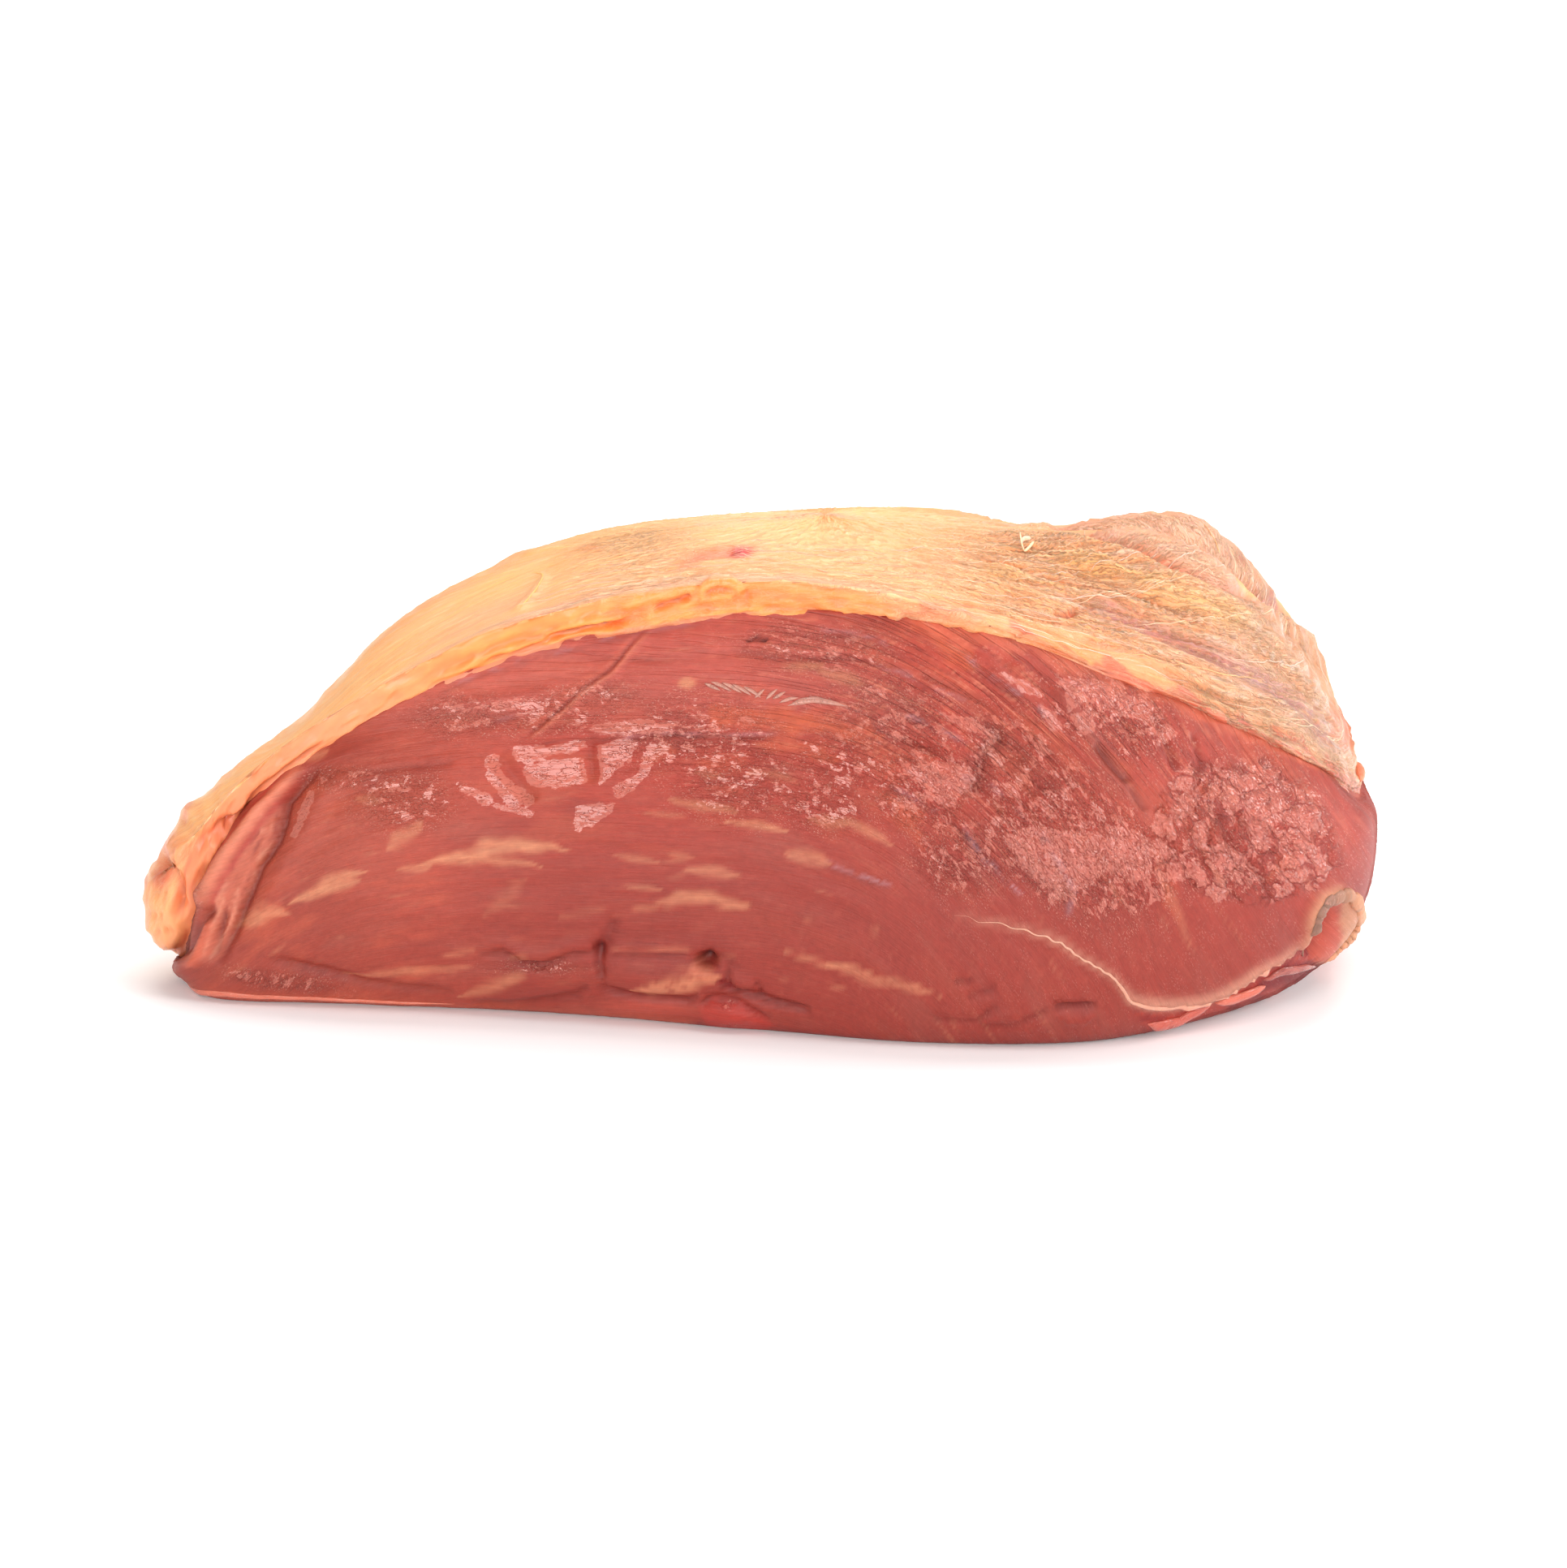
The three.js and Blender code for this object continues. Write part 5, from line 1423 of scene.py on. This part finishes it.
fat_bump = wax.bump(threads, 0.0003, string_amount, fat_bump)
wax.link(fat_bump, wax.shader.inputs["Normal"])
wax.shader.inputs["Subsurface Weight"].default_value = 0.25
wax.shader.inputs["Subsurface Radius"].default_value = (1.0, 0.5, 0.25)
wax.shader.inputs["Subsurface Scale"].default_value = 0.003
fat.data.materials.append(wax.material)
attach(fat, "root")
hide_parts("fat_cap")

# ==== Strings, edges and trimmings ====
# Small strips that stand proud of the two skins: the pale edge of a membrane and the gristle loop
# at the thick end of the face, silverskin shreds, fibres over the fat, and ragged trimmings.
STRING_SEED = 23
ROUND_SIDES = 10
LONG_FIBRES = 60
SHORT_FIBRES = 90


def on_skin(chart, points, normals, path, spacing=2.0):
    """Places and outward directions along a path drawn in pixels: for each step the four nearest
    points of the skin that face the camera, averaged by nearness and then evened out."""
    path = np.array(path, float)
    run = np.concatenate([[0], np.cumsum(np.linalg.norm(np.diff(path, axis=0), axis=1))])
    steps = np.linspace(0, run[-1], max(8, int(run[-1] / spacing)))
    spots = np.stack([np.interp(steps, run, path[:, 0]), np.interp(steps, run, path[:, 1])], 1)
    for _ in range(4):
        spots[1:-1] = (spots[:-2] + 2 * spots[1:-1] + spots[2:]) / 4
    near = ((chart.flat > spots.min(0) - 12) & (chart.flat < spots.max(0) + 12)).all(1)
    usable = np.nonzero(near & (chart.facing.ravel() > 0.2))[0]
    distance = ((spots[:, None] - chart.flat[usable][None]) ** 2).sum(2)
    nearest = np.argpartition(distance, 4, axis=1)[:, :4]
    weight = 1 / (np.take_along_axis(distance, nearest, 1) + 0.5)
    weight = (weight / weight.sum(1, keepdims=True))[..., None]
    place = (points.reshape(-1, 3)[usable][nearest] * weight).sum(1)
    out = (normals.reshape(-1, 3)[usable][nearest] * weight).sum(1)
    for _ in range(3):
        place[1:-1] = (place[:-2] + 2 * place[1:-1] + place[2:]) / 4
        out[1:-1] = (out[:-2] + 2 * out[1:-1] + out[2:]) / 4
    return place, out / np.linalg.norm(out, axis=1)[:, None]


def strip(place, out, half, height, paint, wetness=0.5, lift=0.0):
    """One strip: a flattened round profile, half wide to either side and proud by its height, carried
    along a line of places and shrinking to a point at both ends. Lift raises it off the skin."""
    count = len(place)
    along_strip = np.linspace(0, 1, count)
    taper = np.clip(np.minimum(along_strip, 1 - along_strip) * 6, 0.02, 1) ** 0.6
    half = np.broadcast_to(half, count) * taper
    height = np.broadcast_to(height, count) * taper
    centre = place + out * np.broadcast_to(lift, count)[:, None]
    forward = np.gradient(centre, axis=0)
    forward /= np.linalg.norm(forward, axis=1)[:, None] + 1e-9
    sideways = np.cross(out, forward)
    sideways /= np.linalg.norm(sideways, axis=1)[:, None] + 1e-9
    turn = np.linspace(0, 2 * math.pi, ROUND_SIDES, endpoint=False)
    rings = (centre[:, None] + sideways[:, None] * (half[:, None] * np.cos(turn))[..., None]
             + out[:, None] * (height[:, None] * np.sin(turn))[..., None])
    rings[..., 2] = np.maximum(rings[..., 2], FLOOR_GAP)
    run = np.concatenate([[0], np.cumsum(np.linalg.norm(np.diff(centre, axis=0), axis=1))])
    shape = np.ones((count, ROUND_SIDES))
    paint = np.broadcast_to(paint, (count, 3))[:, None] * shape[..., None]
    grain = np.stack([run[:, None] * shape, (half[:, None] * np.sin(turn)) + place[0, 0], shape], -1)
    looks = {"tint": paint, "grain": grain, "wet": wetness * shape,
             "ripple": 0.3 * shape, "string": 0.3 * shape}
    return rings, centre[0], centre[-1], looks


def swelling(values, count):
    """Widths or heights spread evenly along a strip, from one value or several."""
    values = np.atleast_1d(np.array(values, float))
    return np.interp(np.linspace(0, 1, count), np.linspace(0, 1, len(values)), values)


def drawn_strip(skin, path, half, height, paint, wetness=0.5, lift=0.0):
    """Strip along a path in pixels on a skin, which is given as its chart, points and normals."""
    place, out = on_skin(*skin, path)
    count = len(place)
    return strip(place, out, swelling(half, count), swelling(height, count), paint, wetness, lift)


def finish_strips(name, skins, material):
    """Makes one piece of several strips, with its finish and its place in the frame."""
    piece = skin_object(name, skins)
    piece.data.materials.append(material)
    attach(piece, "root")


SILVER_WHITE = colour(172, 116, 100)
TRIM_CORAL = colour(206, 92, 68)
lean_skin = (face, lean_points, lean_normal)
fat_skin = (cap, fat_points, fat_normal)
place, out = on_skin(*lean_skin, MEMBRANE)
wavy = 1 + 0.35 * noise(np.arange(len(place)) / 5.0, 0.5, 3.0, 2)
edge_half = swelling([0.05, 0.1, 0.14, 0.18, 0.24, 0.4, 0.6, 0.8, 0.9, 0.8], len(place)) * wavy
finish_strips("membrane_edge", [strip(place, out, edge_half, edge_half * 0.6, MEMBRANE_PALE, 0.5, 0.05)],
              meat.material)

LOOP = [(1610, 1182), (1614, 1160), (1616, 1140), (1621, 1121), (1631, 1106), (1644, 1099), (1657, 1101),
             (1667, 1112), (1671, 1130), (1667, 1146), (1657, 1162), (1645, 1175), (1630, 1188)]
place, out = on_skin(*lean_skin, LOOP)
wavy = 1 + 0.4 * noise(np.arange(len(place)) / 3.0, 1.5, 5.0, 3)
turned = smooth(0.35, 0.6, np.linspace(0, 1, len(place)))[:, None]
loop_paint = GRISTLE_GREY * (1 - turned) + GRISTLE_TAN * turned
loop_paint = loop_paint * (1 + 0.25 * noise(np.arange(len(place)) / 1.5, 2.5, 6.0, 2))[:, None]
finish_strips("gristle_loop", [strip(place, out, 1.3 * wavy, 1.0 * wavy, loop_paint, 0.2, 0.1)],
              meat.material)

SHREDS = [[(868, 842), (876, 845), (888, 851)], [(876, 840), (890, 845), (902, 852)],
          [(890, 841), (902, 846), (914, 854)], [(902, 843), (914, 849), (926, 857)],
          [(916, 846), (926, 851), (938, 860)], [(930, 860), (938, 853), (942, 849)],
          [(944, 862), (952, 854), (958, 849)], [(952, 861), (962, 856), (968, 852)],
          [(960, 866), (972, 861), (984, 860)]]
LONG_SHREDS = [  # path, half width (mm), height (mm), colour, wetness, lift (mm)
    ([(970, 870), (988, 864), (1004, 862), (1024, 866), (1046, 871)],
     [0.2, 0.6, 0.6, 0.4, 0.12], 0.15, SILVER_WHITE, 0.7, 0.02),
    ([(984, 862), (1000, 860), (1018, 862)], [0.1, 0.3, 0.1], 0.15, SILVER_WHITE, 0.9, 0.04),
]
SHRED_HALF = [0.12, 0.34, 0.3, 0.1]
silver_skins = [drawn_strip(lean_skin, path, SHRED_HALF, 0.12, SILVER_WHITE, 0.7, 0.02)
                for path in SHREDS]
silver_skins += [drawn_strip(lean_skin, *row) for row in LONG_SHREDS]
finish_strips("silverskin_shreds", silver_skins, meat.material)

TRIMMINGS = [  # path, half width (mm), height (mm), colour, wetness
    ([(207, 1180), (226, 1208), (245, 1220), (309, 1227), (394, 1231), (470, 1234), (560, 1237)],
     [0.9, 0.9, 0.6, 0.5, 0.4, 0.3, 0.2], 0.4, CORAL_LEAN, 0.5),
    ([(1414, 1262), (1430, 1264), (1452, 1260), (1474, 1250), (1494, 1244)], [0.8, 2.0, 1.7, 1.4, 0.8],
     0.9, DEEP_CORAL, 0.6),
    ([(1500, 1240), (1524, 1236), (1546, 1226), (1562, 1218)], [0.8, 1.7, 1.5, 0.8], 0.8,
     TRIM_CORAL, 0.6),
    ([(1560, 1212), (1584, 1202), (1606, 1196), (1624, 1192)], [0.6, 1.2, 1.0, 0.6], 0.6, CRIMSON, 0.8),
]
trimming_skins = [drawn_strip(lean_skin, *row) for row in TRIMMINGS]
finish_strips("trimmings", trimming_skins, meat.material)

# Fibres over the fat: long ones along the muscle at the thick end, short crossing ones in the middle.
string_draw = np.random.default_rng(STRING_SEED)


def on_rows(rows, columns_at):
    """Places and outward directions of the fat's skin at fractional rows and columns."""
    i = np.clip(np.floor(rows).astype(int), 0, len(fat_points) - 2)
    j = np.floor(columns_at).astype(int) % FAT_COLUMNS
    k = (j + 1) % FAT_COLUMNS
    f = (rows - i)[:, None]
    g = (columns_at - np.floor(columns_at))[:, None]
    both = []
    for grid in (fat_points, fat_normal):
        row = grid[i, j] * (1 - g) + grid[i, k] * g
        next_row = grid[i + 1, j] * (1 - g) + grid[i + 1, k] * g
        both.append(row * (1 - f) + next_row * f)
    return both[0], both[1] / np.linalg.norm(both[1], axis=1)[:, None]


def fibre_skin(first_column, length, first_row, drift, half, paint, wave):
    """One fibre along the rows of the fat, drifting and swaying a little across them."""
    count = max(12, int(length * 1.5))
    t = np.linspace(0, 1, count)
    sway_rows = wave * noise(t * length / 14, first_row * 0.37, 7.0, 2)
    rows = np.clip(first_row + drift * t + sway_rows, 2, LIP_ROWS + TOP_ROWS - 4)
    place, out = on_rows(rows, first_column + length * t)
    return strip(place, out, half, half * 0.75, paint, 0.8, 0.0)


middle_row = LIP_ROWS + 20
row_x = cx[middle_row]
row_y = fat_y[middle_row]
thick_columns = np.nonzero((row_x > 1130) & (row_x < 1640) & (row_y < 30))[0]
middle_columns = np.nonzero((row_x > 560) & (row_x < 1130) & (row_y < 0))[0]
fibre_skins = []
for _ in range(LONG_FIBRES):
    start = string_draw.choice(thick_columns)
    length = min(string_draw.uniform(25, 110), FAT_COLUMNS - 1 - start)
    row = string_draw.uniform(LIP_ROWS + 4, LIP_ROWS + 96)
    shade = string_draw.choice(3, p=[0.5, 0.3, 0.2])
    paint = (WHITE_FIBRE, PALE_SKIN, CREAM)[shade]
    drift = string_draw.uniform(-3, 3)
    half = string_draw.uniform(0.05, 0.11)
    fibre_skins.append(fibre_skin(start, length, row, drift, half, paint, 1))
for _ in range(SHORT_FIBRES):
    start = string_draw.choice(middle_columns)
    length = string_draw.uniform(12, 46)
    row = string_draw.uniform(LIP_ROWS + 8, LIP_ROWS + 90)
    paint = (WHITE_FIBRE, PINK_FAT)[string_draw.integers(2)]
    drift = string_draw.uniform(-6, 6)
    half = string_draw.uniform(0.04, 0.09)
    fibre_skins.append(fibre_skin(start, length, row, drift, half, paint, 2))
LOOSE_ENDS = [  # path, half width (mm), height (mm), colour, wetness, lift (mm)
    ([(1262, 684), (1258, 674), (1256, 664)], 0.15, 0.2, WHITE_FIBRE, 0.6, 0.8),
    ([(1262, 682), (1268, 676), (1274, 672)], 0.25, 0.3, WHITE_FIBRE, 0.6, 0.6),
    ([(1256, 672), (1262, 668), (1270, 668)], 0.4, 0.5, PALE_SKIN, 0.6, 0.3),
    ([(640, 752), (656, 734), (668, 720), (672, 712), (666, 706), (655, 706)], 0.2, 0.15, YELLOW, 0.6),
    ([(1676, 938), (1679, 950), (1676, 962)], [0.6, 1.2, 0.6], [0.6, 1.2, 0.6], CORAL, 0.7),
]
fibre_skins += [drawn_strip(fat_skin, *row) for row in LOOSE_ENDS]
finish_strips("fat_fibres", fibre_skins, wax.material)
